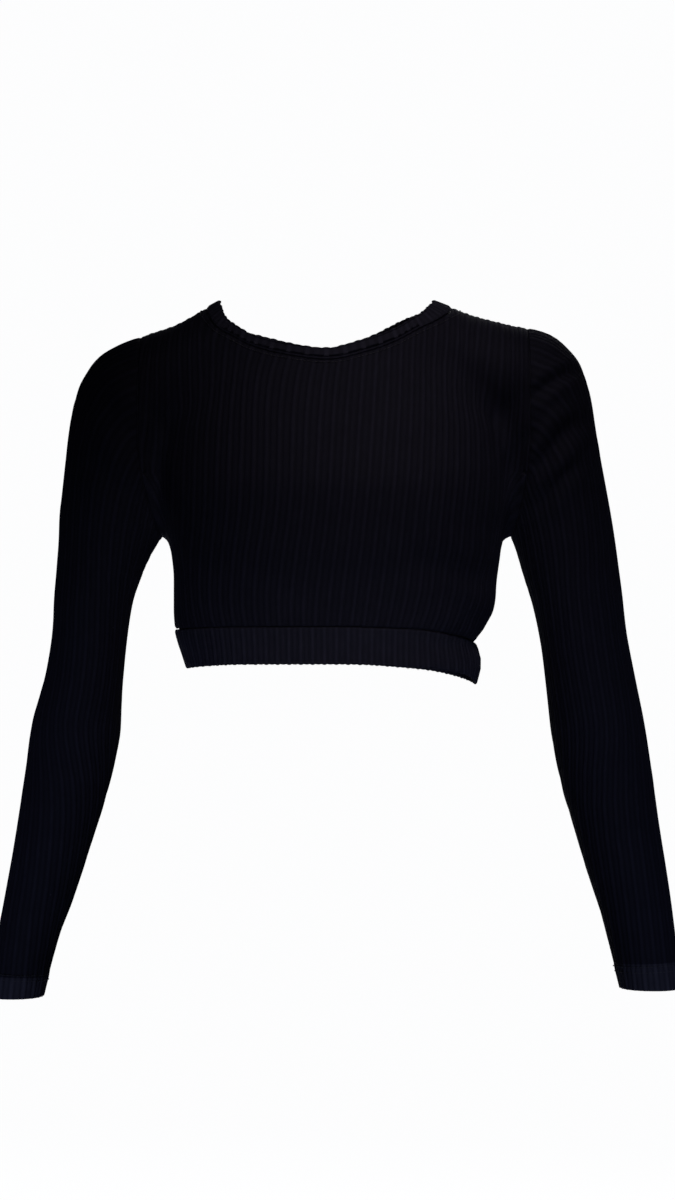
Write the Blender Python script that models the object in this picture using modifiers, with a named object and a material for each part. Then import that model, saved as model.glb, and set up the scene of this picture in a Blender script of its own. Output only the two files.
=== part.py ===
"""Long-sleeved crop top in rib knit, hollow and in the pose it is worn.

The cloth is a thin wall on one smooth form: a torso given by level sections, and on
each side a tube that runs from the neck over the shoulder and down the arm. The seam
lines are drawn on that form first. Each panel is then a grid of points between its own
seam lines, moved onto the form and given its thickness by Solidify.

Metres, +Z up, -Y to the front. "Right" and "left" are the ends of +X and -X.
The origin lies between the tops of the shoulders, where the wearer holds the top up.
"""

import math

import bmesh
import bpy
import numpy as np

# ---------------------------------------------------------------- driving sizes

CLOTH = 0.0013  # one layer of rib knit
FOLDED = 0.0022  # a folded band or a turned hem, two layers pressed together
SEAM_ROW = 0.0016  # the first row of a panel lies this close to its seam
SEAM_GAP = 0.0005  # between the edges of two pieces that are sewn together
SIDE_GAP = 0.0009  # between front and back at the side seams, which curve in at the armpit
BAND_GAP = 0.0008  # at the hem band, where the two pieces meet at an angle
BLEND = 0.022  # how softly the torso runs into the arms
FULLNESS = 2.25  # exponent of the torso's sections: 2 is an ellipse, more is squarer

SHOULDER_RIDGE_Y = 0.006  # the shoulder seams lie this far behind the side seams
ARMHOLE_X = 0.168  # the armhole seam stands this far from the middle
ARMPIT_X = 0.151  # and runs in to here at the armpit
ARMHOLE_NOTCH_Z = -0.113  # where the seam starts to run in
ARMPIT_Z = {"left": -0.194, "right": -0.206}
ARMHOLE_CENTRE_Z = -0.105  # the armhole is an oval round this height

SLEEVE_HEM_Z = {"left": -0.5950, "right": -0.5880}  # the sleeves' lower edges, which are level
SLEEVE_LEVEL_REACH = 0.12  # above the edge, the rounds turn from level to square over this length
SLEEVE_HEM_DEPTH = 0.020  # turned up inside
CAP_STEEPNESS = 1.15  # height of the sleeve cap's bell for half the sleeve's width
SHOULDER_REACH = 0.05  # past this far from the ridge a column no longer bends over it
CAP_DROP = 0.034  # the cap runs into the arm this far below the armpit
CAP_LEAVES = 0.42  # share of a cap column's length over which it leaves the armhole outward
CAP_ARRIVES = 0.45  # and over which it runs into the arm
CAP_LIFT = (-0.160, -0.020)  # columns leave outward in full at the upper height, not at the lower
CAP_FALL = 0.25  # and fall this share of the way out
NECK_CROWDING = 0.4  # how much closer the columns stand at the corners of the neck

TORSO_REACH = 0.28  # rays that look for the form end this far from the torso's axis
ARMHOLE_REACH = 0.16  # this far from the middle of an armhole
ARM_REACH = 0.075  # and this far from the middle of an arm
ARM_STEP = 0.03  # length of arm that gives its direction
RIDGE_START_Z = -0.075  # the ones that look for the top of the shoulder start here
RIDGE_REACH = 0.12
WAIST_RADIUS = 0.125  # about the radius at which the waist's seams curve
NECK_RADIUS = 0.10
SHOULDER_RADIUS = 0.08
CHEST_RADIUS = 0.15
CHEST_DEPTH = {1: 0.103, -1: 0.093}  # front and back, at the height of the armhole notch

# Level sections of the torso: height, reach to each side, to the front and to the back.
TORSO = {
    "height": (0.060, 0.020, -0.010, -0.040, -0.075, -0.115, -0.160, -0.200, -0.235, -0.260,
               -0.276, -0.289, -0.304, -0.330, -0.380),
    "left": (0.035, 0.048, 0.066, 0.098, 0.132, 0.147, 0.149, 0.1425, 0.1385, 0.1385,
             0.1375, 0.1345, 0.1290, 0.1180, 0.110),
    "right": (0.035, 0.048, 0.066, 0.098, 0.132, 0.147, 0.150, 0.1450, 0.1410, 0.1380,
              0.1300, 0.1215, 0.1275, 0.1200, 0.112),
    "front": (0.030, 0.040, 0.052, 0.065, 0.083, 0.103, 0.118, 0.113, 0.102, 0.096,
              0.0935, 0.0925, 0.0925, 0.0915, 0.090),
    "back": (0.040, 0.050, 0.062, 0.074, 0.086, 0.093, 0.094, 0.089, 0.083, 0.080,
             0.0785, 0.0780, 0.0780, 0.0775, 0.077),
}

# Shoulder and arm on each side, from the neck down to past the hand's end of the sleeve:
# the middle of the tube, its half width seen from the front and its half depth.
ARM_DEPTH = {
    "height": (-0.010, -0.080, -0.200, -0.371, -0.480, -0.640),
    "middle_y": (0.006, 0.006, 0.014, 0.020, 0.006, -0.022),
    "half_depth": (0.050, 0.056, 0.047, 0.043, 0.036, 0.027),
}
ARM = {
    "left": {
        "across": (0.040, 0.080, 0.120, 0.152, 0.1735, 0.1835, 0.1885, 0.1935, 0.2020, 0.2100,
                   0.2142, 0.2188, 0.2268, 0.2342, 0.2412, 0.2482, 0.2560, 0.2645, 0.2762, 0.286),
        "height": (-0.013, -0.033, -0.055, -0.067, -0.078, -0.105, -0.140, -0.175, -0.210, -0.248,
                   -0.287, -0.322, -0.371, -0.412, -0.444, -0.475, -0.506, -0.538, -0.596, -0.640),
        "half_width": (0.045, 0.045, 0.045, 0.0460, 0.0475, 0.0460, 0.0455, 0.0448, 0.0385, 0.0338, 0.0319,
                       0.0331, 0.0381, 0.0361, 0.0335, 0.0311, 0.0287, 0.0258, 0.0228, 0.0222),
    },
    "right": {
        "across": (0.035, 0.0712, 0.1100, 0.144, 0.170, 0.1765, 0.184, 0.1915, 0.1995, 0.206,
                   0.2130, 0.2186, 0.2242, 0.2320, 0.2393, 0.2459, 0.2524, 0.2598, 0.2660,
                   0.2760, 0.284),
        "height": (-0.022, -0.0347, -0.0490, -0.0577, -0.0650, -0.0820, -0.121, -0.156, -0.190,
                   -0.220, -0.252, -0.287, -0.322, -0.371, -0.412, -0.444, -0.475, -0.506,
                   -0.538, -0.596, -0.640),
        "half_width": (0.045, 0.045, 0.045, 0.045, 0.0462, 0.0462, 0.0452, 0.0445, 0.0430,
                       0.0412, 0.0385, 0.0370, 0.0382, 0.0402, 0.0389, 0.0361, 0.0340, 0.0312,
                       0.0288, 0.0254, 0.0248),
    },
}

# Lines round the torso, by the turn from the front: minus to the left, plus to the right.
HEM = {
    "turn": (-180, -130, -90, -45, 0, 40, 62, 90, 130, 180),
    "band_seam": (-0.2750, -0.2765, -0.2775, -0.2750, -0.2747, -0.2770, -0.2825, -0.2890,
                  -0.2820, -0.2750),
    "edge": (-0.3080, -0.3095, -0.3110, -0.3070, -0.3067, -0.3090, -0.3140, -0.3250,
             -0.3140, -0.3080),
}

# Lines round the neck, by the same turn: the seam of the neckband and its free edge.
NECK_CENTRE = (-0.006, 0.006)
NECK = {
    "turn": (-180, -150, -120, -105, -90, -75, -60, -50, -30, 0, 30, 45, 60, 75, 90, 105,
             120, 150, 180),
    "band_seam": (-0.0395, -0.0340, -0.0225, -0.0075, 0.0020, -0.0055, -0.0235, -0.0340,
                  -0.0425, -0.0478, -0.0390, -0.0305, -0.0175, -0.0045, 0.0020, -0.0035,
                  -0.0120, -0.0290, -0.0395),
    "edge": (-0.0290, -0.0235, -0.0130, -0.0010, 0.0080, 0.0027, -0.0140, -0.0245,
             -0.0322, -0.0372, -0.0280, -0.0200, -0.0080, 0.0035, 0.0080, 0.0030,
             -0.0030, -0.0190, -0.0290),
}

# Grid sizes of the panels.
SIDE_COLUMNS = 4  # side seam to the line up from the armhole notch
SHOULDER_COLUMNS = 3  # armhole to the neck
NECK_COLUMNS = 14  # across the neck
LOWER_ROWS = 8  # hem band to the armhole notch
UPPER_ROWS = 8  # armhole notch to the shoulder
HALF_ARMHOLE = SIDE_COLUMNS + UPPER_ROWS  # sleeve columns to each side of the underarm seam
CAP_ROWS = 7  # armhole seam to just below the armpit
ARM_ROWS = 12  # from there to the sleeve hem
BAND_ROWS = 2

AXIS_POINTS = 70  # along the middle of each arm
LINE_POINTS = 181  # where a seam or an edge is measured along its length
CHEST_POINTS = 61  # the same for a line across the chest
BELL_POINTS = 400  # the same for the sleeve cap's bell
AT_ONCE = 2000  # points measured against an arm in one go, to spare memory

COLOURS = {"rib_knit": (0.012, 0.012, 0.018), "rib_band": (0.017, 0.017, 0.025)}


# ---------------------------------------------------------------- smooth tables


def smooth(at, places, values):
    """Reads a table at any place, along a curve with no overshoot between its rows."""
    order = np.argsort(places)
    x = np.asarray(places, float)[order]
    v = np.asarray(values, float)[order]
    at = np.clip(at, x[0], x[-1])
    step = np.diff(x)
    rise = np.diff(v) / step
    slope = np.zeros_like(v)
    same_way = rise[:-1] * rise[1:] > 0
    before = 2 * step[1:] + step[:-1]
    after = step[1:] + 2 * step[:-1]
    safe_low = np.where(same_way, rise[:-1], 1.0)
    safe_high = np.where(same_way, rise[1:], 1.0)
    mean = (before + after) / (before / safe_low + after / safe_high)
    slope[1:-1] = np.where(same_way, mean, 0.0)
    slope[0] = rise[0]
    slope[-1] = rise[-1]
    i = np.clip(np.searchsorted(x, at) - 1, 0, len(x) - 2)
    t = (at - x[i]) / step[i]
    return (
        (1 + 2 * t) * (1 - t) ** 2 * v[i]
        + t * (1 - t) ** 2 * step[i] * slope[i]
        + t * t * (3 - 2 * t) * v[i + 1]
        + t * t * (t - 1) * step[i] * slope[i + 1]
    )


# ---------------------------------------------------------------- the form


def torso_distance(points):
    """How far points lie outside the torso, measured level from its axis."""
    x, y, z = points.T
    height = TORSO["height"]
    side = np.where(x < 0, smooth(z, height, TORSO["left"]), smooth(z, height, TORSO["right"]))
    depth = np.where(y < 0, smooth(z, height, TORSO["front"]), smooth(z, height, TORSO["back"]))
    share = (np.abs(x / side) ** FULLNESS + np.abs(y / depth) ** FULLNESS) ** (1 / FULLNESS)
    share = np.maximum(share, 1e-4)
    return np.hypot(x, y) * (1 - 1 / share) - 0.02 * (share < 2e-4)


def arm_axis(side):
    """Points down the middle of a shoulder and arm, with half width and half depth."""
    table = ARM[side]
    sign = -1 if side == "left" else 1
    across = np.array(table["across"])
    height = np.array(table["height"])
    length = np.concatenate(([0], np.cumsum(np.hypot(np.diff(across), np.diff(height)))))
    at = np.linspace(0, length[-1], AXIS_POINTS)
    x = sign * smooth(at, length, across)
    z = smooth(at, length, height)
    width = smooth(at, length, table["half_width"])
    y = smooth(z, ARM_DEPTH["height"], ARM_DEPTH["middle_y"])
    depth = smooth(z, ARM_DEPTH["height"], ARM_DEPTH["half_depth"])
    return np.stack((x, y, z), axis=1), width, depth


AXES = {side: arm_axis(side) for side in ARM}


def arm_distance(points, side):
    """How far points lie outside a shoulder and arm."""
    axis, width, depth = AXES[side]
    start = axis[:-1]
    along = np.diff(axis, axis=0)
    level = along[:, 0] ** 2 + along[:, 2] ** 2
    squeeze = width / depth
    more_squeeze = np.diff(squeeze)
    more_width = np.diff(width)
    best = np.empty(len(points))
    for first in range(0, len(points), AT_ONCE):
        part = slice(first, first + AT_ONCE)
        away_x = points[part, 0, None] - start[:, 0]
        away_y = points[part, 1, None] - start[:, 1]
        away_z = points[part, 2, None] - start[:, 2]
        t = np.clip((away_x * along[:, 0] + away_z * along[:, 2]) / level, 0, 1)
        x = away_x - t * along[:, 0]
        z = away_z - t * along[:, 2]
        y = (away_y - t * along[:, 1]) * (squeeze[:-1] + t * more_squeeze)
        distance = np.sqrt(x * x + y * y + z * z) - width[:-1] - t * more_width
        best[part] = distance.min(axis=1)
    return best


def blended(a, b):
    """Union of two distances with a soft fillet."""
    near = np.maximum(BLEND - np.abs(a - b), 0) / BLEND
    return np.minimum(a, b) - near * near * BLEND / 4


def form(points):
    arms = np.minimum(arm_distance(points, "left"), arm_distance(points, "right"))
    return blended(torso_distance(points), arms)


def onto_form(points, rounds=6):
    """Moves points to the form along its slope."""
    points = np.array(points, float)
    reach = 0.0008
    for _ in range(rounds):
        here = form(points)
        slope = np.empty_like(points)
        for axis in range(3):
            step = np.zeros(3)
            step[axis] = reach
            slope[:, axis] = (form(points + step) - form(points - step)) / (2 * reach)
        size = np.maximum((slope**2).sum(axis=1), 0.2)
        points -= slope * (here / size)[:, None]
    return points


def out_of_form(count, path, reach):
    """First place where each of a count of paths leaves the form.

    path(t) gives a row of points for a row of distances t, one for each path.
    """
    steps = np.linspace(0, reach, 60)
    low = np.zeros(count)
    high = np.full(count, reach)
    found = np.zeros(count, bool)
    for start, end in zip(steps[:-1], steps[1:]):
        leaves = (form(path(np.full(count, end))) > 0) & ~found
        low[leaves] = start
        high[leaves] = end
        found |= leaves
    for _ in range(22):
        middle = (low + high) / 2
        outside = form(path(middle)) > 0
        high = np.where(outside, middle, high)
        low = np.where(outside, low, middle)
    return path((low + high) / 2)


# ---------------------------------------------------------------- seam lines


def level_point(turn, height, centre=(0.0, 0.0)):
    """The form's surface at a turn from the front (degrees) and a height."""
    turn = np.radians(np.atleast_1d(turn))
    height = np.broadcast_to(height, turn.shape)

    def path(t):
        return np.stack((centre[0] + t * np.sin(turn), centre[1] - t * np.cos(turn), height), axis=1)

    return out_of_form(len(turn), path, TORSO_REACH)


def armhole_x(height, side, shift):
    """Where the armhole seam stands at a height; shift moves it away from the middle."""
    drop = np.clip((ARMHOLE_NOTCH_Z - height) / (ARMHOLE_NOTCH_Z - ARMPIT_Z[side]), 0, 1.3)
    reach = ARMHOLE_X - (ARMHOLE_X - ARMPIT_X) * drop**2
    return (reach + shift) * (-1 if side == "left" else 1)


def armhole(side, turn, shift):
    """The armhole seam, by degrees from the armpit over the front to the shoulder and on."""
    turn = np.radians(np.atleast_1d(turn))

    def path(t):
        height = ARMHOLE_CENTRE_Z - t * np.cos(turn)
        return np.stack((armhole_x(height, side, shift), -t * np.sin(turn), height), axis=1)

    return out_of_form(len(turn), path, ARMHOLE_REACH)


def ridge_point(across, y):
    """The top of the shoulder."""
    across = np.atleast_1d(across)

    def path(t):
        return np.stack((across, np.full_like(across, y), RIDGE_START_Z + t), axis=1)

    return out_of_form(len(across), path, RIDGE_REACH)


def line_height(table, row, turn):
    turn = (np.asarray(turn) + 180) % 360 - 180
    return smooth(turn, table["turn"], table[row])


def neck_line(row, turn, shift):
    """A line round the neck, moved up by shift."""
    turn = np.atleast_1d(turn)
    return level_point(turn, line_height(NECK, row, turn) + shift, NECK_CENTRE)


def hem_line(row, turn, shift):
    """A line round the waist, moved up by shift."""
    turn = np.atleast_1d(turn)
    return level_point(turn, line_height(HEM, row, turn) + shift)


def spaced(line, start, end, count, crowding=0.0):
    """Turns that space a count of points along a line, more closely at its ends if crowded."""
    turns = np.linspace(start, end, LINE_POINTS)
    points = line(turns)
    length = np.concatenate(([0], np.cumsum(np.linalg.norm(np.diff(points, axis=0), axis=1))))
    share = np.linspace(0, 1, count)
    share -= crowding * np.sin(2 * math.pi * share) / (2 * math.pi)
    return np.interp(share * length[-1], length, turns)


def armhole_stations():
    """Turns round half an armhole, from the armpit up, shared by body and sleeve.

    A sleeve cap is a bell: many ribs end near the armpit and at the shoulder, and few
    along the upright stretch between them.
    """
    place = np.linspace(0, 1, BELL_POINTS)
    bell = CAP_STEEPNESS * (1 - np.cos(math.pi * place)) / 2
    length = np.concatenate(([0], np.cumsum(np.hypot(np.diff(place), np.diff(bell)))))
    share = np.interp(np.linspace(0, 1, HALF_ARMHOLE + 1), place, length / length[-1])
    turns = np.linspace(0, 180, LINE_POINTS)
    points = armhole("right", turns, 0)
    walk = np.concatenate(([0], np.cumsum(np.linalg.norm(np.diff(points, axis=0), axis=1))))
    return np.interp(share * walk[-1], walk, turns)


def shape_stations():
    """All the turns that seams share: at the armholes, the waist and the neck."""
    columns = 2 * (SIDE_COLUMNS + SHOULDER_COLUMNS) + NECK_COLUMNS + 1

    def waist(turns):
        return hem_line("band_seam", turns, 0)

    def neck(turns):
        return neck_line("band_seam", turns, 0)

    return {
        "armhole": armhole_stations(),
        "waist": {1: spaced(waist, -90, 90, columns), -1: spaced(waist, -90, -270, columns)},
        "neck": {
            face: spaced(neck, -90, face * 180 - 90, NECK_COLUMNS + 1, NECK_CROWDING)
            for face in (1, -1)
        },
    }


# ---------------------------------------------------------------- panels


def along_edges(turns, radius):
    """The same turns with the first and last held back by half a seam's gap."""
    turns = np.array(turns)
    inward = math.degrees(SEAM_GAP / 2 / radius) * np.sign(turns[-1] - turns[0])
    turns[0] += inward
    turns[-1] -= inward
    return turns


def relaxed(grid, places, rounds=16):
    """The grid with its columns straightened on the form, its rows at their places (0 to 1)."""
    step = np.diff(places)[:, None, None]
    below = step[1:] / (step[1:] + step[:-1])
    for turn in range(rounds):
        mean = below * grid[:-2] + (1 - below) * grid[2:]
        last = turn == rounds - 1
        grid[1:-1] = onto_form(mean.reshape(-1, 3), 6 if last else 1).reshape(mean.shape)
    return grid


def hemmed(grid, row, toward):
    """The grid with one more row close to a row at a seam, which keeps the wall square there."""
    step = grid[row + toward] - grid[row]
    length = np.linalg.norm(step, axis=1)[:, None]
    close = onto_form(grid[row] + step * np.minimum(SEAM_ROW / length, 0.4))
    place = row + 1 if toward > 0 else row
    return np.insert(grid, place, close, axis=0)


def hemmed_column(grid, column, toward):
    return hemmed(grid.transpose(1, 0, 2), column, toward).transpose(1, 0, 2)


def chest_line(start, end, count):
    """Points evenly spaced across the chest or the back, from one armhole to the other."""
    face = 1 if start[1] < 0 else -1
    first_turn, last_turn = (math.atan2(point[0], abs(point[1])) for point in (start, end))
    turn = np.linspace(first_turn, last_turn, CHEST_POINTS)
    share = np.linspace(0, 1, CHEST_POINTS)[:, None]
    guess = np.stack(
        (CHEST_RADIUS * np.sin(turn), -face * CHEST_DEPTH[face] * np.cos(turn), 0 * turn), axis=1
    )
    guess += (1 - share) * (start - guess[0]) + share * (end - guess[-1])
    guess[1:-1] = onto_form(guess[1:-1])
    walk = np.concatenate(([0], np.cumsum(np.linalg.norm(np.diff(guess, axis=0), axis=1))))
    at = np.linspace(0, walk[-1], count)
    return np.stack([np.interp(at, walk, guess[:, k]) for k in range(3)], axis=1)


def body_panel(face, stations):
    """Grids of the front (face 1) or the back (face -1): below and above the armhole notch.

    Columns run up the ribs. The lower grid reaches from side seam to side seam and ends
    at the curve of the armholes; the upper grid stands on its middle columns.
    """
    half = SEAM_GAP / 2
    half_side = SIDE_GAP / 2
    around = stations["armhole"] * face
    under = around[: SIDE_COLUMNS + 1].copy()
    under[0] = face * math.degrees(half_side / (ARMHOLE_CENTRE_Z - ARMPIT_Z["right"]))
    left = armhole("left", under, -half)
    right = armhole("right", under, -half)[::-1]

    # The top line of the lower grid: armhole, notch to notch across the chest, armhole.
    inner_columns = 2 * SHOULDER_COLUMNS + NECK_COLUMNS
    chest = chest_line(left[-1], right[0], inner_columns + 1)
    top = np.concatenate((left, chest[1:-1], right))
    bottom = hem_line("band_seam", along_edges(stations["waist"][face], WAIST_RADIUS), BAND_GAP / 2)
    rows = [bottom]
    for row in range(1, LOWER_ROWS):
        rows.append(onto_form(bottom + row / LOWER_ROWS * (top - bottom)))
    rows.append(top)
    lower = relaxed(np.array(rows), np.linspace(0, 1, LOWER_ROWS + 1))
    lower[:, (0, -1), 1] = -face * half_side

    # The top line of the upper grid: shoulder, neck, shoulder.
    neck = neck_line("band_seam", along_edges(stations["neck"][face], NECK_RADIUS), -half)
    ridge_y = SHOULDER_RIDGE_Y - face * half
    shoulders = []
    for side, end in (("left", neck[0]), ("right", neck[-1])):
        tip = armhole(side, 180, -half)[0]
        across = np.linspace(tip[0], end[0], SHOULDER_COLUMNS + 1)[:-1]
        shoulders.append(ridge_point(across, ridge_y))
    crown = np.concatenate((shoulders[0], neck, shoulders[1][::-1]))

    base = lower[-1][SIDE_COLUMNS : SIDE_COLUMNS + inner_columns + 1]
    climb = around[SIDE_COLUMNS:].copy()
    climb[-1] -= face * math.degrees(half / SHOULDER_RADIUS)
    armholes = [armhole(side, climb, -half) for side in ("left", "right")]
    walk = np.concatenate(([0], np.cumsum(np.linalg.norm(np.diff(armholes[0], axis=0), axis=1))))
    rise = walk / walk[-1]
    # Where a row ends on the shoulder it keeps the bow of the armholes on its way up.
    across = np.linspace(0, 1, inner_columns + 1)[:, None]
    over_shoulder = np.clip(1 + face * crown[:, 1:2] / SHOULDER_REACH, 0, 1)
    upper = [base]
    for row in range(1, UPPER_ROWS):
        t = rise[row]
        guess = base + t * (crown - base)
        bow_left, bow_right = (line[row] - (line[0] + t * (line[-1] - line[0])) for line in armholes)
        guess += over_shoulder * ((1 - across) * bow_left + across * bow_right)
        guess[1:-1] = onto_form(guess[1:-1])
        upper.append(guess)
    upper.append(crown)
    upper = relaxed(np.array(upper), rise)
    upper[:, 0], upper[:, -1] = armholes

    last = upper.shape[1] - 1
    upper = hemmed_column(hemmed_column(upper, last, -1), 0, 1)
    lower = hemmed_column(hemmed_column(lower, SIDE_COLUMNS + last, -1), SIDE_COLUMNS, 1)
    upper = hemmed(upper, UPPER_ROWS, -1)
    lower = hemmed(hemmed(lower, LOWER_ROWS, -1), 0, 1)
    return lower, upper


def ring_round_arm(side, height, turns):
    """One round of the arm: square to it, but level at the hem. It starts at the inner side."""
    sign = -1 if side == "left" else 1
    axis = AXES[side][0]
    middle, below = (
        np.array([np.interp(-z, -axis[:, 2], axis[:, k]) for k in range(3)])
        for z in (height, height - ARM_STEP)
    )
    along = (below - middle) / np.linalg.norm(below - middle)
    tilt = min(max((height - SLEEVE_HEM_Z[side]) / SLEEVE_LEVEL_REACH, 0), 1)
    inward = np.array((-sign, 0.0, 0.0)) + tilt * along * sign * along[0]
    front = np.array((0.0, -1.0, 0.0)) + tilt * along * along[1]
    inward /= np.linalg.norm(inward)
    front /= np.linalg.norm(front)
    way = np.cos(turns)[:, None] * inward + np.sin(turns)[:, None] * front

    def path(t):
        return middle + t[:, None] * way

    return out_of_form(len(turns), path, ARM_REACH)


def sleeve_grid(side, stations):
    """Grid of a sleeve: columns down the ribs, the first one along the underarm seam."""
    half = SEAM_GAP / 2
    sign = -1 if side == "left" else 1
    front_half = stations["armhole"]
    seam = armhole(side, np.concatenate((front_half, 360 - front_half[-2:0:-1])), half)
    turns = np.linspace(0, 2 * math.pi, len(seam) + 1)[:-1]
    top_height = ARMPIT_Z[side] - CAP_DROP
    first = ring_round_arm(side, top_height, turns)
    length = np.linalg.norm(first - seam, axis=1)[:, None]
    low, high = CAP_LIFT
    outward = np.array((sign, 0.0, -CAP_FALL)) * np.clip((seam[:, 2:3] - low) / (high - low), 0, 1)
    leave = seam + outward * length * CAP_LEAVES
    arrive = first + np.array((0.0, 0.0, 1.0)) * length * CAP_ARRIVES
    rows = [seam]
    for row in range(1, CAP_ROWS):
        t = row / CAP_ROWS
        guess = (1 - t) ** 3 * seam + 3 * t * (1 - t) ** 2 * leave
        guess += 3 * t * t * (1 - t) * arrive + t**3 * first
        rows.append(onto_form(guess))
    edge = SLEEVE_HEM_Z[side]
    fold = edge + SLEEVE_HEM_DEPTH
    for height in np.linspace(top_height, fold, ARM_ROWS - 1):
        rows.append(ring_round_arm(side, height, turns))
    rows.append(ring_round_arm(side, edge + SLEEVE_HEM_DEPTH / 2, turns))
    rows.append(ring_round_arm(side, edge, turns))
    return hemmed(np.array(rows), 0, 1)


def band_grid(line, turns, seam_shift):
    """Grid of a band between its seam, moved up by seam_shift, and its free edge."""
    seam = line("band_seam", turns, seam_shift)
    edge = line("edge", turns, 0)
    grid = [seam]
    for row in range(1, BAND_ROWS):
        grid.append(onto_form(seam + row / BAND_ROWS * (edge - seam)))
    grid.append(edge)
    return hemmed(np.array(grid), 0, 1)


# ---------------------------------------------------------------- objects


def cloth_object(name, grids, closed, thickness, material, collection, folded_rows=0):
    """One piece of cloth from grids that share points, with its thickness both ways."""
    mesh = bpy.data.meshes.new(name)
    bm = bmesh.new()
    hem_points = []
    for grid in grids:
        rows, columns, _ = grid.shape
        points = [[bm.verts.new(grid[r, c]) for c in range(columns)] for r in range(rows)]
        across = columns if closed else columns - 1
        for r in range(rows - 1):
            for c in range(across):
                d = (c + 1) % columns
                bm.faces.new((points[r][c], points[r][d], points[r + 1][d], points[r + 1][c]))
        for r in range(rows - folded_rows, rows):
            hem_points.extend(points[r])
    bmesh.ops.remove_doubles(bm, verts=bm.verts, dist=0.00002)
    bmesh.ops.recalc_face_normals(bm, faces=bm.faces)
    bm.verts.index_update()
    hem = [v.index for v in hem_points if v.is_valid]
    bm.to_mesh(mesh)
    bm.free()
    mesh.shade_smooth()
    mesh.materials.append(material)
    piece = bpy.data.objects.new(name, mesh)
    collection.objects.link(piece)
    wall = piece.modifiers.new("cloth thickness", "SOLIDIFY")
    wall.thickness = thickness
    wall.offset = 0
    if folded_rows:
        group = piece.vertex_groups.new(name="turned_hem")
        group.add(hem, 1.0, "REPLACE")
        wall.thickness = FOLDED
        wall.vertex_group = group.name
        wall.thickness_vertex_group = CLOTH / FOLDED
    return piece


def plain_material(name):
    material = bpy.data.materials.new(name)
    material.use_nodes = True
    shader = material.node_tree.nodes["Principled BSDF"]
    shader.inputs["Base Color"].default_value = (*COLOURS[name], 1)
    shader.inputs["Roughness"].default_value = 0.85
    shader.inputs["Metallic"].default_value = 0
    return material


def main():
    for old in list(bpy.data.objects):
        bpy.data.objects.remove(old)
    collection = bpy.data.collections.new("crop_top")
    bpy.context.scene.collection.children.link(collection)
    knit = plain_material("rib_knit")
    band = plain_material("rib_band")

    stations = shape_stations()
    for name, face in (("front", 1), ("back", -1)):
        cloth_object(name, body_panel(face, stations), False, CLOTH, knit, collection)
    for side in ("left", "right"):
        grid = sleeve_grid(side, stations)
        cloth_object(f"{side}_sleeve", [grid], True, CLOTH, knit, collection, folded_rows=3)

    neck_turns = np.concatenate((stations["neck"][1], stations["neck"][-1][-2:0:-1]))
    grid = band_grid(neck_line, neck_turns, SEAM_GAP / 2)
    cloth_object("neckband", [grid], True, FOLDED, band, collection)
    for name, face in (("hem_band_front", 1), ("hem_band_back", -1)):
        turns = along_edges(stations["waist"][face], WAIST_RADIUS)
        grid = band_grid(hem_line, turns, -BAND_GAP / 2)
        cloth_object(name, [grid], False, FOLDED, band, collection)


main()
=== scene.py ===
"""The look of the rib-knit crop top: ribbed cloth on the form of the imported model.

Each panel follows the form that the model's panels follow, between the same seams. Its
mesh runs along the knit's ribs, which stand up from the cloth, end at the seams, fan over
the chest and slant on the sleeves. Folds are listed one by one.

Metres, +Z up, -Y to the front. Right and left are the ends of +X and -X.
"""

import math

import bmesh
import bpy
import numpy as np
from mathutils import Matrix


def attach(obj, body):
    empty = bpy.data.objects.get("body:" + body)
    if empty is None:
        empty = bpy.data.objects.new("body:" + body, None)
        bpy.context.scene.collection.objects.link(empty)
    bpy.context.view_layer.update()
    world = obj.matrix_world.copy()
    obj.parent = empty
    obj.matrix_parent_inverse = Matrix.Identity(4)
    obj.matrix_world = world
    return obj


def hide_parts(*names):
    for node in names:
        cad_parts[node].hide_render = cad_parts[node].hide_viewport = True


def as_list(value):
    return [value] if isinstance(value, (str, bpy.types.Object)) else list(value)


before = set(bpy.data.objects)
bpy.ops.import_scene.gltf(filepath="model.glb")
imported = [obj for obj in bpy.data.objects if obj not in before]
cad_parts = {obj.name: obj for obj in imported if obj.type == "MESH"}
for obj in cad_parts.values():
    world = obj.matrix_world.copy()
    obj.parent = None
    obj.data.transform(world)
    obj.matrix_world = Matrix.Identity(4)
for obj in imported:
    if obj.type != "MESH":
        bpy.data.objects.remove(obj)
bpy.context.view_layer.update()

# ---------------------------------------------------------------- camera

CAMERA_DISTANCE = 3.0
CAMERA_ACROSS = 0.003
CAMERA_HEIGHT = -0.2523
VIEW_HEIGHT = 1.044  # seen from top to bottom at the middle of the garment

scene = bpy.context.scene
camera_data = bpy.data.cameras.new("camera")
camera_data.lens = camera_data.sensor_width * CAMERA_DISTANCE / VIEW_HEIGHT
camera_data.clip_end = 100
camera = bpy.data.objects.new("camera", camera_data)
camera.location = (CAMERA_ACROSS, -CAMERA_DISTANCE, CAMERA_HEIGHT)
camera.rotation_euler = (math.pi / 2, 0, 0)
scene.collection.objects.link(camera)
scene.camera = camera

# ---------------------------------------------------------------- sizes of the cloth

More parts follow.
